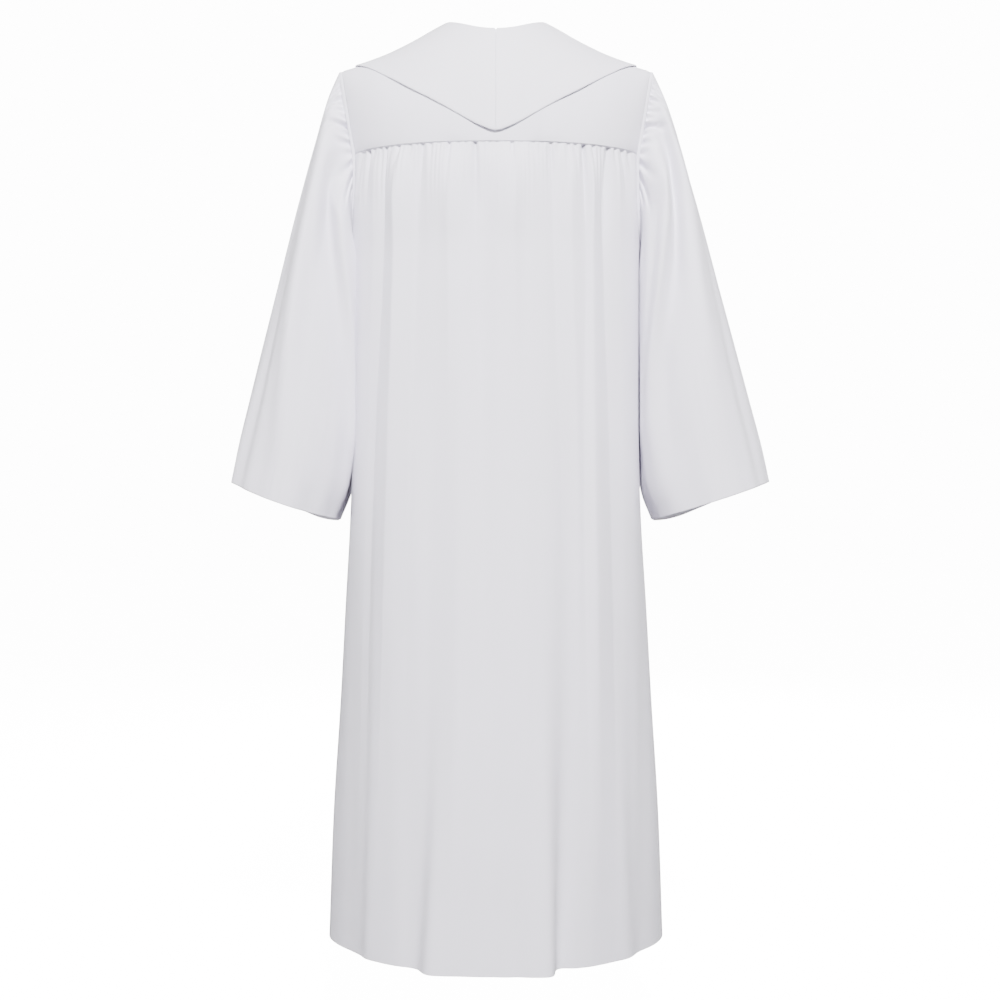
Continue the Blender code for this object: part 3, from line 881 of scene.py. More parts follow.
@dataclass
class Panel(Piece):
    """The gathered back and the two gathered fronts, from the yoke seam to the hem."""

    wall: float = 0.0012
    hem_extra: float = 0.0007
    hem_depth: float = 0.030
    tuck: float = 0.0040  # up under the yoke
    tucked_in: float = 0.0009
    columns: int = 460
    rows: int = 78
    row_crowding: float = 1.6
    seam_rows: tuple[float, ...] = (-0.0030, -0.0018, -0.0008, 0.0, 0.0008, 0.0018, 0.0030)
    hem_rows: tuple[float, ...] = (0.027, 0.020, 0.012, 0.006, 0.0022, 0.0008, 0.0)  # above the hem
    last_columns: tuple[float, float] = (0.9985, 1.0)  # at the side seam
    front_columns: tuple[float, float] = (0.0, 0.0015)  # at the centre front
    middle_gap: float = 0.0005
    middle_flat: float = 0.024  # the folds fade in over it, from a quarter of it off the centre
    side_flat: float = 0.08  # the share next to the side seam over which they fade out
    gathering: Gathering = Gathering(0.0029, 0.0034, 0.0022, 1.3)
    crimp: Waves = Waves(0.0095, 0.40, 0.0007)  # between the gathers
    crimp_start: float = 0.004
    crimp_length: float = 0.060
    broad: Waves = Waves(0.085, 0.90, 0.0011)
    fine: Waves = Waves(0.034, 0.50, 0.000385)
    waves_start: float = 0.10  # the drop below the seam over which both fade in
    stops: tuple[float, ...] = (0.0, 0.035, 0.14, 0.42, 1.0)  # seam, near it, blades, waist and hem
    hem_crispness: float = 0.50  # how much narrower a long fold's edges turn at the hem
    crisp_from: float = 0.6  # part of the way down
    crease_stops: tuple[float, ...] = (0.0, 0.14, 0.34, 1.0)  # seam, blades, waist and hem
    crease_rises: tuple[float, ...] = (0.0, 0.02, 0.14, 0.34, 0.92)  # 0 at the first and last
    rounded: tuple[float, ...] = (0.1, 0.2, 0.4, 0.2, 0.1)  # how the facets' corners are shared out
    back_flutes: tuple[Flute, ...] = table(
        Flute,
        (-64, -63, -91, 76, 79, 72, 1, 1.8, 4, 22.5, 26, 14),
        (-139, -158, -176, -96, -92, -100, 0, 1, 5, 11, 18, 26),
        (118, 110, 94, 149, 155, 184, 0, 1, 5, 10, 18, 18),
        (-64, -58, -92, -29, -24, -52, 0, 0, 0.8, 9, 16, 22),
        (24, 26, 36, 75, 79, 72, 0, 0, 0.8, 11, 22, 12),
        (-172, -178, -190, -150, -146, -140, 0, 0.6, 1, 0, 8, 10),
        (158, 166, 180, 178, 186, 200, 0, 0.6, 1, 0, 8, 10),
        scale=MM,
    )
    front_flutes: tuple[Flute, ...] = table(
        Flute,
        (28, 30, 30, 74, 82, 98, 0.6, 1.4, 4.5, 16, 12, 16),
        (100, 108, 116, 143, 150, 172, 0, 1.2, 5, 13, 18, 18),
        (160, 168, 182, 180, 188, 202, 0, 0.6, 1, 0, 8, 10),
        scale=MM,
    )
    back_creases: tuple[Crease, ...] = table(
        Crease,
        (-164.7, -167.2, -172.5, -189.3, 3.4, 4.1, 2.7), (-150, -152.4, -161.9, -173.7, 0.4, 0, 0),
        (-132.5, -133.7, -137.9, -158.1, 8.8, 10.8, 10.8),
        (-103, -104.2, -107.4, -124.3, 1.6, 2.7, 4.7), (-62.7, -62.6, -60.8, -72.3, 9.5, 10.1, 8.1),
        (-27.9, -26.5, -18.2, -22.9, 0.5, 1.4, 2.7), (25.8, 25.8, 31, 25.2, 8.8, 8.8, 6.8),
        (74.1, 76.7, 84.2, 78.5, 0, 0, 0.7), (99.6, 102.2, 108.1, 103.2, 5.1, 4.9, 3.5),
        (119.8, 122.3, 117.4, 122.7, 0, 0.7, 1.1), (130.5, 129, 128.1, 138.3, 4.3, 5.7, 6.5),
        (148, 147.7, 153.3, 159.1, -3, -3.2, -2.4), (165.4, 169.2, 173.3, 173.4, 3, 3, 1.6),
        scale=MM,
    )
    front_creases: tuple[Crease, ...] = table(
        Crease,
        (30, 31, 34, 40, 1.1, 1.4, 1.4), (52, 54, 60, 66, 8.1, 8.8, 6.8),
        (80, 83, 90, 100, 0.8, 1.1, 2.2), (104, 107, 114, 122, 7.3, 8.1, 7),
        (126, 129, 134, 142, 0.5, 0, 0.8), (140, 143, 150, 160, 4.9, 5.7, 5.4),
        (158, 160, 168, 178, -2.2, -2.4, -1.6), (176, 179, 186, 196, 2.7, 2.7, 1.4),
        scale=MM,
    )
    back_gathers: tuple[Gather, ...] = table(
        Gather,
        (-184, 68, 4.2, -4), (-175.6, 95, 6.7, 3), (-166.5, 30, 2.6, -2), (-158.5, 38, 2.9, 1),
        (-150.1, 49, 4.5, -2), (-142, 27, 2.6, 1), (-132.6, 81, 4.5, -6), (-124, 24, 2.2, 1),
        (-116.5, 35, 3.8, 1), (-107.5, 24, 2.2, -1), (-99.1, 101, 4.8, -1), (-88.3, 32, 3.2, 1),
        (-77, 24, 2.2, -1), (-62.8, 108, 5.1, -3), (-50.7, 30, 2.6, 1), (-40, 24, 1.9, -1),
        (-27.9, 121, 5.8, 2), (-18, 24, 1.9, 1), (-7.7, 32, 2.6, -1), (1.7, 41, 2.9, 1),
        (12, 24, 1.9, 1), (21.8, 95, 4.2, 3), (34.5, 27, 2.1, -1), (50, 35, 2.9, 1),
        (62, 24, 2.2, -1), (74.2, 95, 4.2, 1), (86, 27, 2.6, -1), (98.4, 81, 4.2, -2),
        (107.8, 35, 3.8, 1), (119.9, 115, 8, 2), (133.3, 46, 4.2, -1), (143.5, 27, 2.6, 1),
        (154.8, 162, 6.4, -6), (165.5, 32, 3.2, 1), (174.9, 108, 5.1, 5), (185, 61, 4.2, -4),
        scale=MM,
    )
    front_gathers: tuple[Gather, ...] = table(
        Gather,
        (17, 54, 2.9, 1), (26, 101, 5.1, -1), (36.5, 30, 2.6, 1), (45, 46, 3.8, -1),
        (56, 95, 4.8, 1), (65.5, 27, 2.6, 1), (74, 121, 6.1, 3), (85, 35, 3.2, -1),
        (95, 101, 5.1, 1), (104, 30, 2.6, 1), (112, 81, 4.5, -1), (121.5, 41, 3.5, 1),
        (131, 115, 6.4, 2), (142, 32, 3.2, -1), (150, 149, 6.1, -3), (160.5, 41, 3.5, 1),
        (170, 95, 4.8, 3), (183, 68, 4.2, -5),
        scale=MM,
    )

    def drops(self) -> Grid:
        """The rows' drops: close together about the yoke seam and wider towards the hem.

        Returns:
            The drops, a column.
        """
        top, foot = self.torso.yoke_drop, self.torso.hem_drop
        seam = top + np.array((-self.tuck, *self.seam_rows))
        length = foot - self.hem_depth - seam[-1]
        body = seam[-1] + length * np.linspace(0, 1, self.rows)[1:] ** self.row_crowding
        return np.concatenate((seam, body, foot - np.array(self.hem_rows)))[:, None]

    def part(self, drop: Grid) -> Grid:
        """A drop as its part of the way from the yoke seam to the hem."""
        return (drop - self.torso.yoke_drop) / (self.torso.hem_drop - self.torso.yoke_drop)

    def flutes(self, rows: tuple[Flute, ...], x: Grid, drop: Grid) -> Grid:
        """The long folds: for each, a plateau between two soft edges that wander down the panel.

        Args:
            rows: The folds.
            x: The grid's distance from the middle.
            drop: The rows' drops.

        Returns:
            How far each point stands out.
        """
        part, ends = self.part(drop), (self.stops[0], *self.stops[3:])
        total = np.zeros(np.broadcast(x, drop).shape)
        narrow = 1 - self.hem_crispness * eased((part - self.crisp_from) / (1 - self.crisp_from))
        for row in rows:
            left, right = smooth(ends, row[0:3], part), smooth(ends, row[3:6], part)
            out = smooth(self.stops, (0.0, *row[6:10]), part)
            rise = np.tanh((x - left) / (row.left_soft * narrow))
            fall = np.tanh((x - right) / (row.right_soft * narrow))
            total = total + out * (rise - fall) / 2
        return total

    def facets(self, rows: tuple[Crease, ...], x: Grid, drop: Grid) -> Grid:
        """Broad flat facets between crests and valleys, straight across each row with rounded corners.

        Args:
            rows: The crests and valleys, from left to right.
            x: The grid's distance from the middle.
            drop: The rows' drops.

        Returns:
            How far each point stands out.
        """
        part = self.part(drop[:, 0])
        places = np.stack([smooth(self.crease_stops, row[:4], part) for row in rows])
        heights = np.stack([smooth(self.crease_rises, (0.0, *row[4:], 0.0), part) for row in rows])
        flat = np.stack([np.interp(line, *pair) for line, *pair in zip(x, places.T, heights.T)])
        reach = len(self.rounded) // 2
        padded = np.pad(flat, ((0, 0), (reach, reach)), mode="edge")
        count = flat.shape[1]
        return sum(share * padded[:, i : i + count] for i, share in enumerate(self.rounded))

    def sheet(self, name: str, share: Grid, face: Face, gap: float, seed: int) -> bpy.types.Object:
        """One panel: the body's surface with the folds added along its facing, and a turned hem.

        Args:
            name: The piece's name.
            share: The columns, from the middle to the side.
            face: Which face.
            gap: Half the gap at the middle.
            seed: For its unevenness.

        Returns:
            The sheet.
        """
        drop = self.drops()
        level = np.maximum(drop, self.torso.yoke_drop)
        point, facing = self.torso.body(share, level, face, gap)
        point[..., 2] = -drop
        x = point[..., 0]
        if face is Face.BACK:
            flutes, creases, gathers = self.back_flutes, self.back_creases, self.back_gathers
        else:
            flutes, creases, gathers = self.front_flutes, self.front_creases, self.front_gathers
        below = drop - self.torso.yoke_drop
        edge = eased((1 - np.abs(share)) / self.side_flat)
        if gap:
            edge = edge * eased(np.abs(x) / self.middle_flat - 0.25)
        folds = self.flutes(flutes, x, drop) + self.facets(creases, x, drop)
        folds = folds + self.gathering.folds(gathers, x, below)
        fade = eased(below / self.crimp_start) * bell(np.maximum(below, 0) / self.crimp_length)
        uneven = self.broad.over(x, below, seed + 1) + self.fine.over(x, below, seed + 2)
        folds = folds + self.crimp.over(x, below, seed) * fade
        folds = folds + uneven * eased(below / self.waves_start)
        seam = -self.tucked_in * (1 - eased(below / self.seam_rows[-1]))
        outer = point + facing * (folds * edge + seam)[..., None]
        wall = hem_wall(len(outer), self.wall, self.hem_extra, len(self.hem_rows) + 1)
        centre = outer.mean(axis=1, keepdims=True) * np.array((0.0, 0.0, 1.0))
        return shell(name, outer, inner_side(outer, wall, centre))

    def build(self) -> list[bpy.types.Object]:
        """Builds the back and both fronts.

        Returns:
            The sheets.
        """
        half = np.linspace(0, 1, self.columns // 2)
        half = np.concatenate((half[:-1], self.last_columns))
        share = np.concatenate((-half[:0:-1], half))[None, :]
        back = self.sheet("back_cloth", share, Face.BACK, 0.0, 21)
        hung = Cut(0.70, 1.14, 0.72, "gathered", ("yoke_back_cloth",))
        made = [self.dress(back, "back_panel", hung)]
        for side in Side:
            name = f"front_{side.word}"
            part = np.concatenate((self.front_columns, half[1:]))[None, :]
            front = self.sheet(f"{name}_cloth", part, Face.FRONT, self.middle_gap, 31)
            hung = Cut(0.35, 1.14, 0.36, "gathered", (f"yoke_front_{side.word}_cloth",))
            made.append(self.dress(front, name, hung, side))
        return made


@dataclass
class Sleeve(Piece):
    """The bell sleeves, gathered at the head."""

    wall: float = 0.0012
    hem_extra: float = 0.0007
    hem_rings: int = 5
    strip: float = 0.004  # the rings next to the seam that lie along the cloth there
    strip_rings: int = 5
    head_rings: tuple = (0.004, 0.14, 44)  # first, last and count
    rings_below: tuple = (0.15, 0.95, 50)
    cuff_rings: tuple[float, ...] = (0.965, 0.98, 0.991, 0.997, 1.0)
    near_turns: tuple = (18, 112, 96)  # first, last and count of the columns over the gathers
    under_turns: int = 58
    top_turns: int = 12
    follows: float = 0.16  # share of the sleeve that still shows the armhole's own curve
    rounding: float = 2.3
    length: float = 0.60
    left_cut: SleeveCut = SleeveCut(-0.0085, 0.0030, 0.0140, 0.036)
    right_cut: SleeveCut = SleeveCut(0.0030, 0.0000, 0.0140, 0.018)
    tuck_clear: float = 0.0035
    tuck_grown: float = 0.17  # where along the sleeve the tuck is full
    tuck_held: float = 0.72  # and where it starts to let go
    before: float = 0.7  # how strongly the long folds repeat before
    gathering: Gathering = Gathering(1.9, 2.2, 0.0025 / 0.60, 1.2)  # in degrees round the armhole
    puff: float = 0.0022
    puff_start: float = 0.02
    puff_reach: float = 0.09
    puff_turns: tuple[float, float] = (0.3, 1.95)  # from the outer line, between which it stands
    puff_soft: float = 0.4
    uneven_round: Waves = Waves(0.06, 0.50, 0.0010)
    uneven_across: Waves = Waves(0.07, 0.50, 0.0010)
    uneven_start: float = 0.12
    girth: float = 0.1  # the sleeve's rough half width, for the waves
    sag_inward: float = 1.3
    stops: tuple[float, ...] = (0.0, 0.15, 0.50, 1.0)  # armhole, head, elbow and cuff
    rings: tuple[Ring, ...] = table(
        Ring,
        (0, 0.219, 0.0715, 0.205, 0.323, 0.046), (0.074, 0.238, 0.111, 0.206, 0.345, 0.058),
        (0.2, 0.262, 0.183, 0.206, 0.385, 0.07), (0.323, 0.283, 0.254, 0.2055, 0.43, 0.077),
        (0.566, 0.32, 0.396, 0.206, 0.525, 0.087), (0.811, 0.356, 0.539, 0.206, 0.62, 0.094),
        (0.93, 0.374, 0.611, 0.2095, 0.675, 0.097), (1, 0.383, 0.655, 0.222, 0.708, 0.099),
    )
    left_folds: tuple[SleeveFold, ...] = table(
        SleeveFold,
        (56, 70, 94, 15, 0.0075, 0.012, 0.0095), (83, 120, 140, 12, -0.015, -0.0085, 0),
        (106, 140, 152, 12, 0.008, 0.006, 0.0025), (26, 32, 44, 17, -0.004, -0.0085, -0.006),
        (70, 96, 118, 7, 0.002, 0.0014, 0),
    )
    right_folds: tuple[SleeveFold, ...] = table(
        SleeveFold,
        (26, 68, 88, 15, 0.003, 0.006, 0.005), (20, 30, 42, 16, -0.001, -0.007, -0.005),
        (57, 106, 120, 13, -0.019, -0.0095, 0), (84, 128, 144, 13, 0.009, 0.0075, 0.003),
        (118, 150, 160, 9, 0.0025, 0.002, 0), (98, 138, 150, 7, -0.0025, -0.0015, 0),
    )
    head_gathers: tuple[Gather, ...] = table(
        Gather,
        (30, 0.06, 0.0068, -12), (36, 0.08, 0.0088, -17), (42, 0.06, 0.008, -16),
        (48, 0.1, 0.012, -26), (54, 0.07, 0.0093, -20), (59, 0.09, 0.0112, -25),
        (65, 0.07, 0.01, -20), (71, 0.12, 0.018, -32), (77, 0.07, 0.01, -18),
        (83, 0.09, 0.0116, -20), (89, 0.06, 0.0093, -10), (95, 0.11, 0.0128, -8),
        (103, 0.13, 0.0128, 2), (111, 0.08, 0.0084, 5),
    )

    def turns(self) -> Grid:
        """The columns' turns: close together where the head is gathered, behind and before.

        Returns:
            The turns.
        """
        near = np.radians(np.linspace(*self.near_turns))
        under = np.linspace(near[-1], 2 * math.pi - near[-1], self.under_turns)[1:-1]
        top = np.linspace(-near[0], near[0], self.top_turns)[1:-1]
        return np.concatenate((top, near, under, 2 * math.pi - near[::-1]))

    def ring(self, along: float, turn: Grid, flare: float = 0.0) -> tuple[Grid, Grid]:
        """A plain ring: the oval |cos|^n, |sin|^n about the middle of its outer and inner points.

        Args:
            along: Its place, 0 at the armhole to 1 at the cuff.
            turn: Its columns' turns.
            flare: How much further out the cuff's outer point lies.

        Returns:
            The ring's points and the directions that they face.
        """
        outer_x, outer_drop, inner_x, inner_drop, depth = (
            curve(self.rings, name, along) for name in Ring._fields[1:]
        )
        outer = np.array((outer_x + flare * along, 0.0, -outer_drop))
        inner = np.array((inner_x, 0.0, -inner_drop))
        middle, reach = (outer + inner) / 2, (outer - inner) / 2
        cos, sin = np.cos(turn), np.sin(turn)
        cos = (np.sign(cos) * np.abs(cos) ** (2 / self.rounding))[:, None]
        sin = (np.sign(sin) * np.abs(sin) ** (2 / self.rounding))[:, None]
        behind = np.array((0.0, -1.0, 0.0))
        ring = middle + reach * cos + behind * depth * sin
        return ring, unit(reach / np.dot(reach, reach) * cos + behind * sin / depth)

    def folds(self, rows: tuple[SleeveFold, ...], along: float, turn: Grid) -> Grid:
        """The long folds: for each, a bell-shaped ridge or trough that turns as it runs down.

        Args:
            rows: The folds.
            along: The ring's place.
            turn: Its columns' turns.

        Returns:
            How far each point stands out.
        """
        over = np.degrees(folded(turn))
        total = np.zeros_like(over)
        for row in rows:
            middle = smooth(self.stops[1:], (row.head_turn, row.elbow_turn, row.cuff_turn), along)
            out = smooth(self.stops, (0.0, row.head_out, row.elbow_out, row.cuff_out), along)
            total = total + out * bell((over - middle) / row.half_width)
        return total * np.where(np.sin(turn) < 0, self.before, 1.0)

    def swell(self, along: float, turn: Grid) -> Grid:
        """The head's fullness: it rises at the seam and on the outer side, and dies away.

        Args:
            along: The ring's place.
            turn: Its columns' turns.

        Returns:
            How far each point stands out.
        """
        over, (first, last) = folded(turn), self.puff_turns
        height = self.puff * eased(along / self.puff_start) * bell(along / self.puff_reach)
        return height * eased((over - first) / self.puff_soft) * eased((last - over) / self.puff_soft)

    def closed_in(self, ring: Grid, along: float, turn: Grid, tuck: float) -> Grid:
        """A ring's x with its inner half closed in round the body's side.

        The inner half moves towards the body by tuck |cos| |sin| of the turn, but stays clear of it.

        Args:
            ring: The ring's points.
            along: Its place along the sleeve.
            turn: Its points' turns.
            tuck: How far the sleeve would close in.

        Returns:
            The points' x.
        """
        drop, before = -ring[:, 2], np.sin(turn) < 0
        side, back = self.torso.size(drop, Face.BACK)
        deep = np.where(before, self.torso.size(drop, Face.FRONT)[1], back)
        power = self.torso.level("power", drop)
        clear = self.torso.oval(ring[:, 1], deep, side, power) + self.tuck_clear
        let_go = eased((along - self.tuck_held) / (1 - self.tuck_held))
        held = eased(along / self.tuck_grown) * (1 - let_go)
        inward = tuck * held * np.maximum(-np.cos(turn), 0) * np.abs(np.sin(turn))
        return np.minimum(ring[:, 0], np.maximum(ring[:, 0] - inward, clear))

    def outer(self, rows: tuple[SleeveFold, ...], cut: SleeveCut, seed: int) -> Grid:
        """The sleeve's outer side, as the right one: rings from the armhole's edge to the cuff.

        Args:
            rows: Its long folds.
            cut: Its own cut.
            seed: For its unevenness.

        Returns:
            The grid of points, a row for each ring.
        """
        turn = self.turns()
        edge, facing = self.torso.armhole(turn)
        run = unit(np.roll(edge, -1, axis=0) - np.roll(edge, 1, axis=0))
        onward = unit(np.cross(facing, run))
        lean = folded(turn)[:, None] / 2
        leave = onward * np.cos(lean) + facing * np.sin(lean)
        start = self.torso.seam_gap * 1.5
        rings = [edge + leave * reach for reach in np.linspace(start, self.strip, self.strip_rings)]
        own_curve = rings[-1] - self.ring(0.0, turn)[0]
        over = np.degrees(folded(turn))
        for along in steps(np.linspace(*self.head_rings), self.rings_below, self.cuff_rings):
            ring, normal = self.ring(along, turn, cut.flare)
            ring = ring + own_curve * (1 - eased(along / self.follows))
            out = self.swell(along, turn) + self.folds(rows, along, turn)
            out = out + self.gathering.folds(self.head_gathers, over, along)
            down = along * self.length
            waves = self.uneven_round.over(np.sin(turn) * self.girth, down, seed)
            waves = waves + self.uneven_across.over(np.cos(turn) * self.girth, down, seed + 1)
            out = out + waves * eased(along / self.uneven_start)
            ring = ring + normal * out[:, None]
            inward = (1 - np.cos(turn)) / self.sag_inward
            sag = np.where(np.sin(turn) > 0, cut.sag, cut.front_sag * inward) * np.sin(turn) ** 2
            ring[:, 2] -= sag * along**4
            ring[:, 0] = self.closed_in(ring, along, turn, cut.tuck)
            rings.append(ring)
        return np.stack(rings)

    def build(self) -> list[bpy.types.Object]:
        """Builds both sleeves.

        Returns:
            The sheets.
        """
        made = []
        left = (Side.LEFT, self.left_folds, self.left_cut, 41)
        right = (Side.RIGHT, self.right_folds, self.right_cut, 51)
        for side, rows, cut, seed in (left, right):
            outer = self.outer(rows, cut, seed)
            wall = hem_wall(len(outer), self.wall, self.hem_extra, self.hem_rings)
            inner = inner_side(outer, wall, outer.mean(axis=1, keepdims=True), ring=True)
            sleeve = shell(f"sleeve_{side.word}_cloth", outer, inner, ring=True)
            hung = Cut(0.60, 0.62, 0.27, "gathered", ("yoke_back_cloth", "back_cloth"))
            made.append(self.dress(sleeve, f"sleeve_{side.word}", hung, side))
        return made


@dataclass
class Collar(Piece):
    """The mantle collar's two halves: two layers pressed together, sewn down the centre back."""

    slot: str = "collar_cloth"
    wall: float = 0.0017
    front_deeper: float = 1.25  # the point before turns that much further than the one behind
    seat: float = 0.0009
    lift: float = 0.0008
    tip_lift: float = 0.0016
    back_gap: float = 0.0003
    front_gap: float = 0.0010
    notch: float = 0.0012
    rolled: float = 0.0003
    lip: tuple[float, float] = (0.972, 0.012)  # where the rolled lip lies, and its half width
    tip_reach: float = 0.16
    front_tip: float = 0.3  # how much of the tip's lift the point before has
    ripple: Waves = Waves(0.08, 0.1, 0.0007)
    metres: float = 0.1  # in a radian or a part, about
    sweeps: int = 121
    end_sweeps: tuple[float, ...] = (0, 0.004, 0.010)
    # the rows' parts of the way out from the neckline: close, (first, last, count) and close
    parts: tuple = ((0, 0.006, 0.02), (0.05, 0.95, 28), (0.965, 0.978, 0.988, 0.995, 1.0))
    edge: tuple[CollarEdge, ...] = table(
        CollarEdge,
        (0, 0, 86.4), (6.2, 0.035, 86.1), (15.6, 0.14, 83.5), (25.9, 0.28, 78), (35.5, 0.42, 70.8),
        (44.5, 0.555, 61.9), (53.5, 0.665, 51.6), (61.1, 0.745, 41.9), (70.6, 0.825, 28.8),
        (79, 0.885, 16.5), (84, 0.907, 8.5), (90, 0.912, 0),
    )

    def surface(self, sweep: Grid, part: Grid, out: Grid) -> Grid:
        """A point of the right half: round the neck, out towards the edge and above the yoke.

        Args:
            sweep: 0 at the centre back to a half turn at the centre front.
            part: 0 at the neckline to 1 at the outer edge.
            out: Height above the yoke.

        Returns:
            The points.
        """
        behind = sweep <= math.pi / 2
        near = self.torso.neck_share * np.sin(sweep)
        back, front = (self.torso.neck_turn(near, face) for face in Face)
        neck = np.where(behind, back, front)
        from_centre = np.degrees(np.minimum(sweep, math.pi - sweep))
        far = curve(self.edge, "share", from_centre)
        edge = np.radians(curve(self.edge, "turn", from_centre))
        edge = edge * np.where(behind, 1.0, self.front_deeper)
        turn = np.where(behind, 1, -1) * (neck + (edge - neck) * part)
        points = self.torso.above_shoulder(near + (far - near) * part, turn, out)
        gap = np.where(behind, self.back_gap, self.front_gap) / 2
        spread = self.notch * eased(1 - part / 0.07) * behind
        points[..., 0] = np.maximum(points[..., 0], gap + spread)
        return points

    def build(self) -> list[bpy.types.Object]:
        """Builds both halves, each a closed sheet whose edges are rounded.

        Returns:
            The sheets.
        """
        first = np.array(self.end_sweeps)
        bend = np.linspace(0, math.pi, self.sweeps)[1:-1]
        sweep = np.concatenate((first, bend, math.pi - first[::-1]))[:, None]
        part = steps(*self.parts)[None, :]
        left_over = math.pi - sweep
        tips = bell(sweep / self.tip_reach) + self.front_tip * bell(left_over / self.tip_reach)
        lift = self.seat + self.lift * np.sqrt(part) + self.tip_lift * part**3 * tips
        inset = eased(sweep / 0.2) * eased(left_over / 0.2)
        uneven = self.ripple.over(sweep * self.metres, part * self.metres, 61)
        lift = lift + uneven * part**2 * inset
        lip_at, lip_half = self.lip
        lip = self.rolled * bell((part - lip_at) / lip_half)
        thick = self.wall * (0.35 + 0.65 * np.sqrt(np.clip((1 - part) / 0.014, 0, 1)))
        thick = thick * (0.6 + 0.4 * eased(part / 0.02)) * (0.93 + 0.07 * eased(sweep / 0.008))
        middle = lift + self.wall / 2
        outer = self.surface(sweep, part, middle + thick / 2 + lip)
        inner = self.surface(sweep, part, middle - thick / 2)
        made = []
        for side in Side:
            half = shell(f"collar_{side.word}_cloth", outer, inner)
            hung = Cut(0.30, 0.52, 0.068, "laid", ("yoke_back_cloth", f"yoke_front_{side.word}_cloth"))
            made.append(self.dress(half, f"collar_{side.word}", hung, side))
        return made


@dataclass
class Zip(Piece):
    """The concealed centre-front zip: a tape behind the fronts, and the coil on its inner side."""

    slot: str = "zip_tape"
    coil_finish: bpy.types.Material | None = None
    half: float = 0.012
    top: float = 0.162
    foot: float = 0.900
    wall: float = 0.0009
    seat: float = 0.0020  # behind the fronts' outer side
    coil_half: float = 0.0026
    coil_rise: float = 0.0016
    coil_pitch: float = 0.0021
    coil_inset: float = 0.003  # from each end of the tape
    coil_width: tuple[float, float] = (0.80, 0.20)  # between the teeth, and added at each
    coil_shell: tuple[float, float] = (0.9, 0.0001)  # its inner side's width and clearance
    tooth_steps: int = 5
    arch_steps: int = 7
    tape_steps: tuple[int, int, int] = (10, 60, 13)  # above the yoke seam, below it and across
    below_seam: float = 0.21

    def depth(self, drop: Grid) -> Grid:
        """How far before the middle the fronts' outer side lies along the centre front.

        Args:
            drop: Below the neck points.

        Returns:
            The depth.
        """
        rise = self.torso.shoulder(0.0, 0.0)[2] + self.torso.yoke_drop
        turn = np.arccos(np.clip((self.torso.yoke_drop - drop) / rise, 0, 1))
        side, deep = self.torso.size(np.maximum(drop, self.torso.yoke_drop), Face.FRONT)
        return self.torso.oval(self.half, side, deep) * np.sin(turn)

    def build(self) -> list[bpy.types.Object]:
        """Builds the tape and its coil.

        Returns:
            The tape and the coil.
        """
        above, below, wide = self.tape_steps
        upper = np.linspace(self.top, self.torso.yoke_drop, above)
        drop = np.concatenate((upper, np.linspace(self.below_seam, self.foot, below)))[:, None]
        across = np.linspace(-1, 1, wide)[None, :] * self.half
        line = self.depth(drop) - self.seat
        outer = np.stack(np.broadcast_arrays(across, line, -drop), axis=-1)
        inner = outer - np.array((0.0, self.wall, 0.0))
        tape = shell("zip_tape_cloth", outer, inner)
        coil = self.coil(self.wall)
        hung = Cut(0.024, 0.74, 0.0177, "stretched", ("front_left_cloth", "front_right_cloth"))
        return [self.dress(tape, "zip_tape", hung, with_pieces=(coil,)), coil]

    def coil(self, behind: float) -> bpy.types.Object:
        """The coil: a low arch carried down the tape, narrower and lower between its teeth.

        Args:
            behind: How far its foot lies behind the tape's outer side.

        Returns:
            The coil.
        """
        teeth = int((self.foot - self.top - 2 * self.coil_inset) / self.coil_pitch)
        step = np.linspace(0, teeth, teeth * self.tooth_steps + 1)
        drop = (self.top + self.coil_inset + step * self.coil_pitch)[:, None]
        least, added = self.coil_width
        size = (least + added * np.cos(2 * math.pi * step))[:, None]
        bend = np.linspace(0, math.pi, self.arch_steps)[None, :]
        foot = self.depth(drop) - self.seat - behind
        x, rise = -np.cos(bend) * self.coil_half * size, np.sin(bend) * self.coil_rise * size
        outer = np.stack(np.broadcast_arrays(x, foot - rise, -drop), axis=-1)
        narrow, off = self.coil_shell
        inner = np.stack(np.broadcast_arrays(x * narrow, foot + off, -drop), axis=-1)
        made = shell("zip_coil", outer, inner)
        made.data.materials.append(self.coil_finish)
        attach(made, "root")
        return made


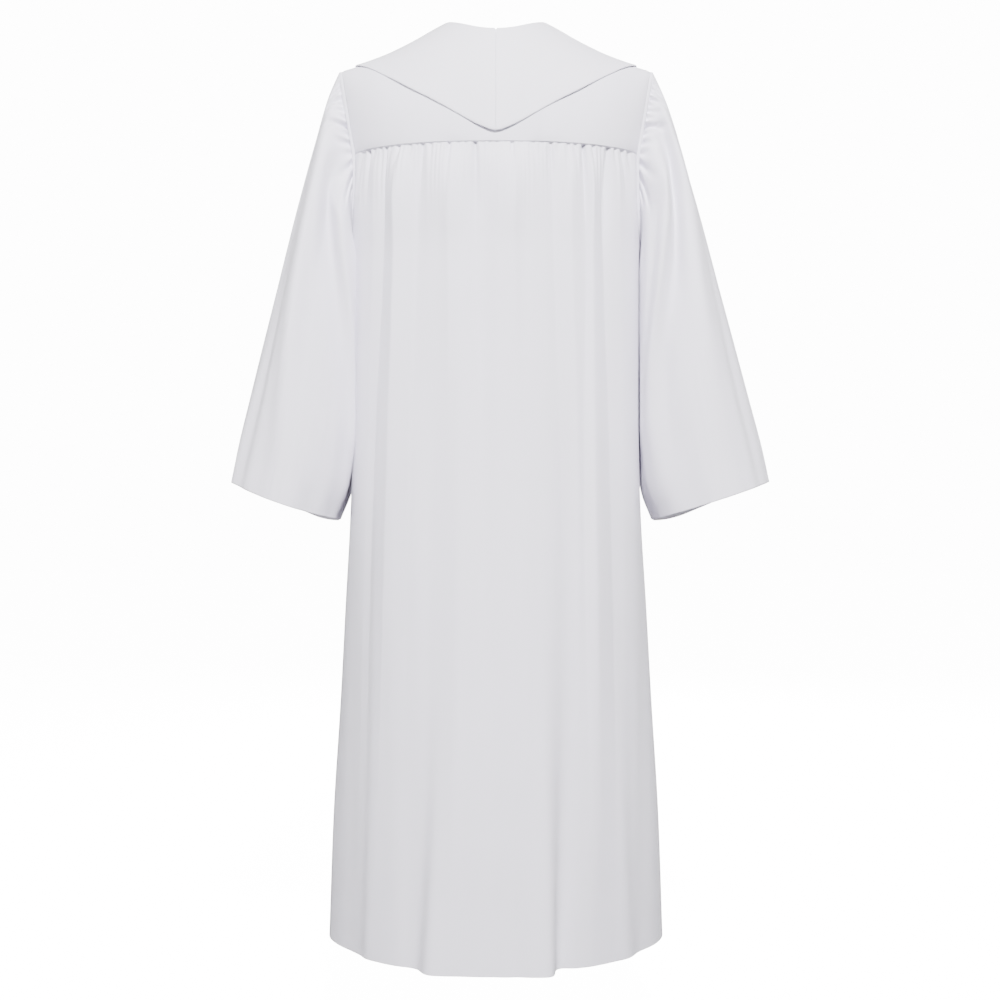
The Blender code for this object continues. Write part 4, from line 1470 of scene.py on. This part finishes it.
@dataclass
class Studio:
    """The plain floor, the soft lights and the camera at the photo's place."""

    floor_drop: float = 1.42
    floor_half: float = 14.0
    floor_glow: float = 14.0
    sky: float = 14.0
    fill: float = 0.18
    floor_colour: tuple[float, float, float] = (0.86, 0.86, 0.87)
    floor_roughness: float = 0.9
    lights: tuple[Light, ...] = (
        Light("key", (0.30, -3.1, 2.10), (0.0, 0.0, -0.66), 0.5, 600.0),
        Light("left", (-2.4, -1.2, -0.5), (0.0, 0.0, -0.7), 1.2, 46.0),
        Light("right", (2.4, -1.2, -0.5), (0.0, 0.0, -0.7), 1.2, 26.0),
        Light("front", (0.6, 3.4, 1.3), (0.0, 0.0, -0.5), 1.2, 380.0),
    )
    camera: tuple[float, float, float] = (0.0057, -2.3, -0.681)
    lens: float = 58.1
    sensor: float = 36.0

    def floor(self) -> None:
        """A wide pale floor that fades into the background."""
        half = self.floor_half
        corners = [(-half, -half), (half, -half), (half, half), (-half, half)]
        mesh = bpy.data.meshes.new("floor")
        mesh.from_pydata([(x, y, -self.floor_drop) for x, y in corners], [], [(0, 1, 2, 3)])
        made = new_object("floor", mesh)
        pale, _, inputs = new_material("pale_floor")
        inputs["Base Color"].default_value = (*self.floor_colour, 1.0)
        inputs["Roughness"].default_value = self.floor_roughness
        inputs["Emission Color"].default_value = WHITE
        inputs["Emission Strength"].default_value = self.floor_glow
        mesh.materials.append(pale)
        made.visible_diffuse = False
        made.visible_glossy = False

    def world(self) -> None:
        """A bright background for the eye, and an even dimmer light from all round for the cloth."""
        world = bpy.data.worlds.new("studio")
        world.use_nodes = True
        bpy.context.scene.world = world
        nodes = Nodes(world.node_tree)
        seen = nodes.add("ShaderNodeLightPath", {}, {}, "Is Camera Ray")
        background = world.node_tree.nodes["Background"]
        background.inputs["Color"].default_value = WHITE
        nodes.put(background.inputs["Strength"], seen * (self.sky - self.fill) + self.fill)

    def light(self, row: Light) -> None:
        """One square area light, turned to its aim.

        Args:
            row: The light.
        """
        data = bpy.data.lights.new(row.name, "AREA")
        data.size, data.energy = row.size, row.power
        made = new_object(row.name, data)
        made.location = row.place
        way = Vector(row.aim) - Vector(row.place)
        made.rotation_euler = way.to_track_quat("-Z", "Y").to_euler()

    def build(self) -> None:
        """Sets up the stage, the lights and the camera."""
        self.floor()
        self.world()
        for row in self.lights:
            self.light(row)
        data = bpy.data.cameras.new("camera")
        data.lens, data.sensor_width = self.lens, self.sensor
        made = new_object("camera", data)
        made.location = self.camera
        made.rotation_euler = (math.pi / 2, 0.0, 0.0)
        bpy.context.scene.camera = made


@dataclass
class Robe:
    """The whole robe, in the order that its pieces are sewn."""

    torso: Torso = field(default_factory=Torso)

    def build(self) -> None:
        """Builds every piece and reports it."""
        cloth = WovenCloth("robe_weave", (0.815, 0.79, 0.885)).material()
        pressed = WovenCloth("collar_weave", (0.825, 0.80, 0.885), roughness=0.80).material()
        tape = WovenCloth("tape_weave", (0.79, 0.77, 0.85), pitch=0.0010).material()
        coil = Coated("coil_nylon", (0.80, 0.80, 0.82), 0.35).material()
        parts = (
            Yoke(self.torso, cloth),
            Panel(self.torso, cloth),
            Sleeve(self.torso, cloth),
            Collar(self.torso, pressed),
            Zip(self.torso, tape, coil_finish=coil),
        )
        for part in parts:
            for made in part.build():
                LOG.info("%s: %d faces", made.name, len(made.data.polygons))


def main() -> None:
    """Dresses the robe and sets up the studio."""
    logging.basicConfig(level=logging.INFO, format="%(message)s")
    Robe().build()
    Studio().build()


if __name__ == "__main__":
    main()
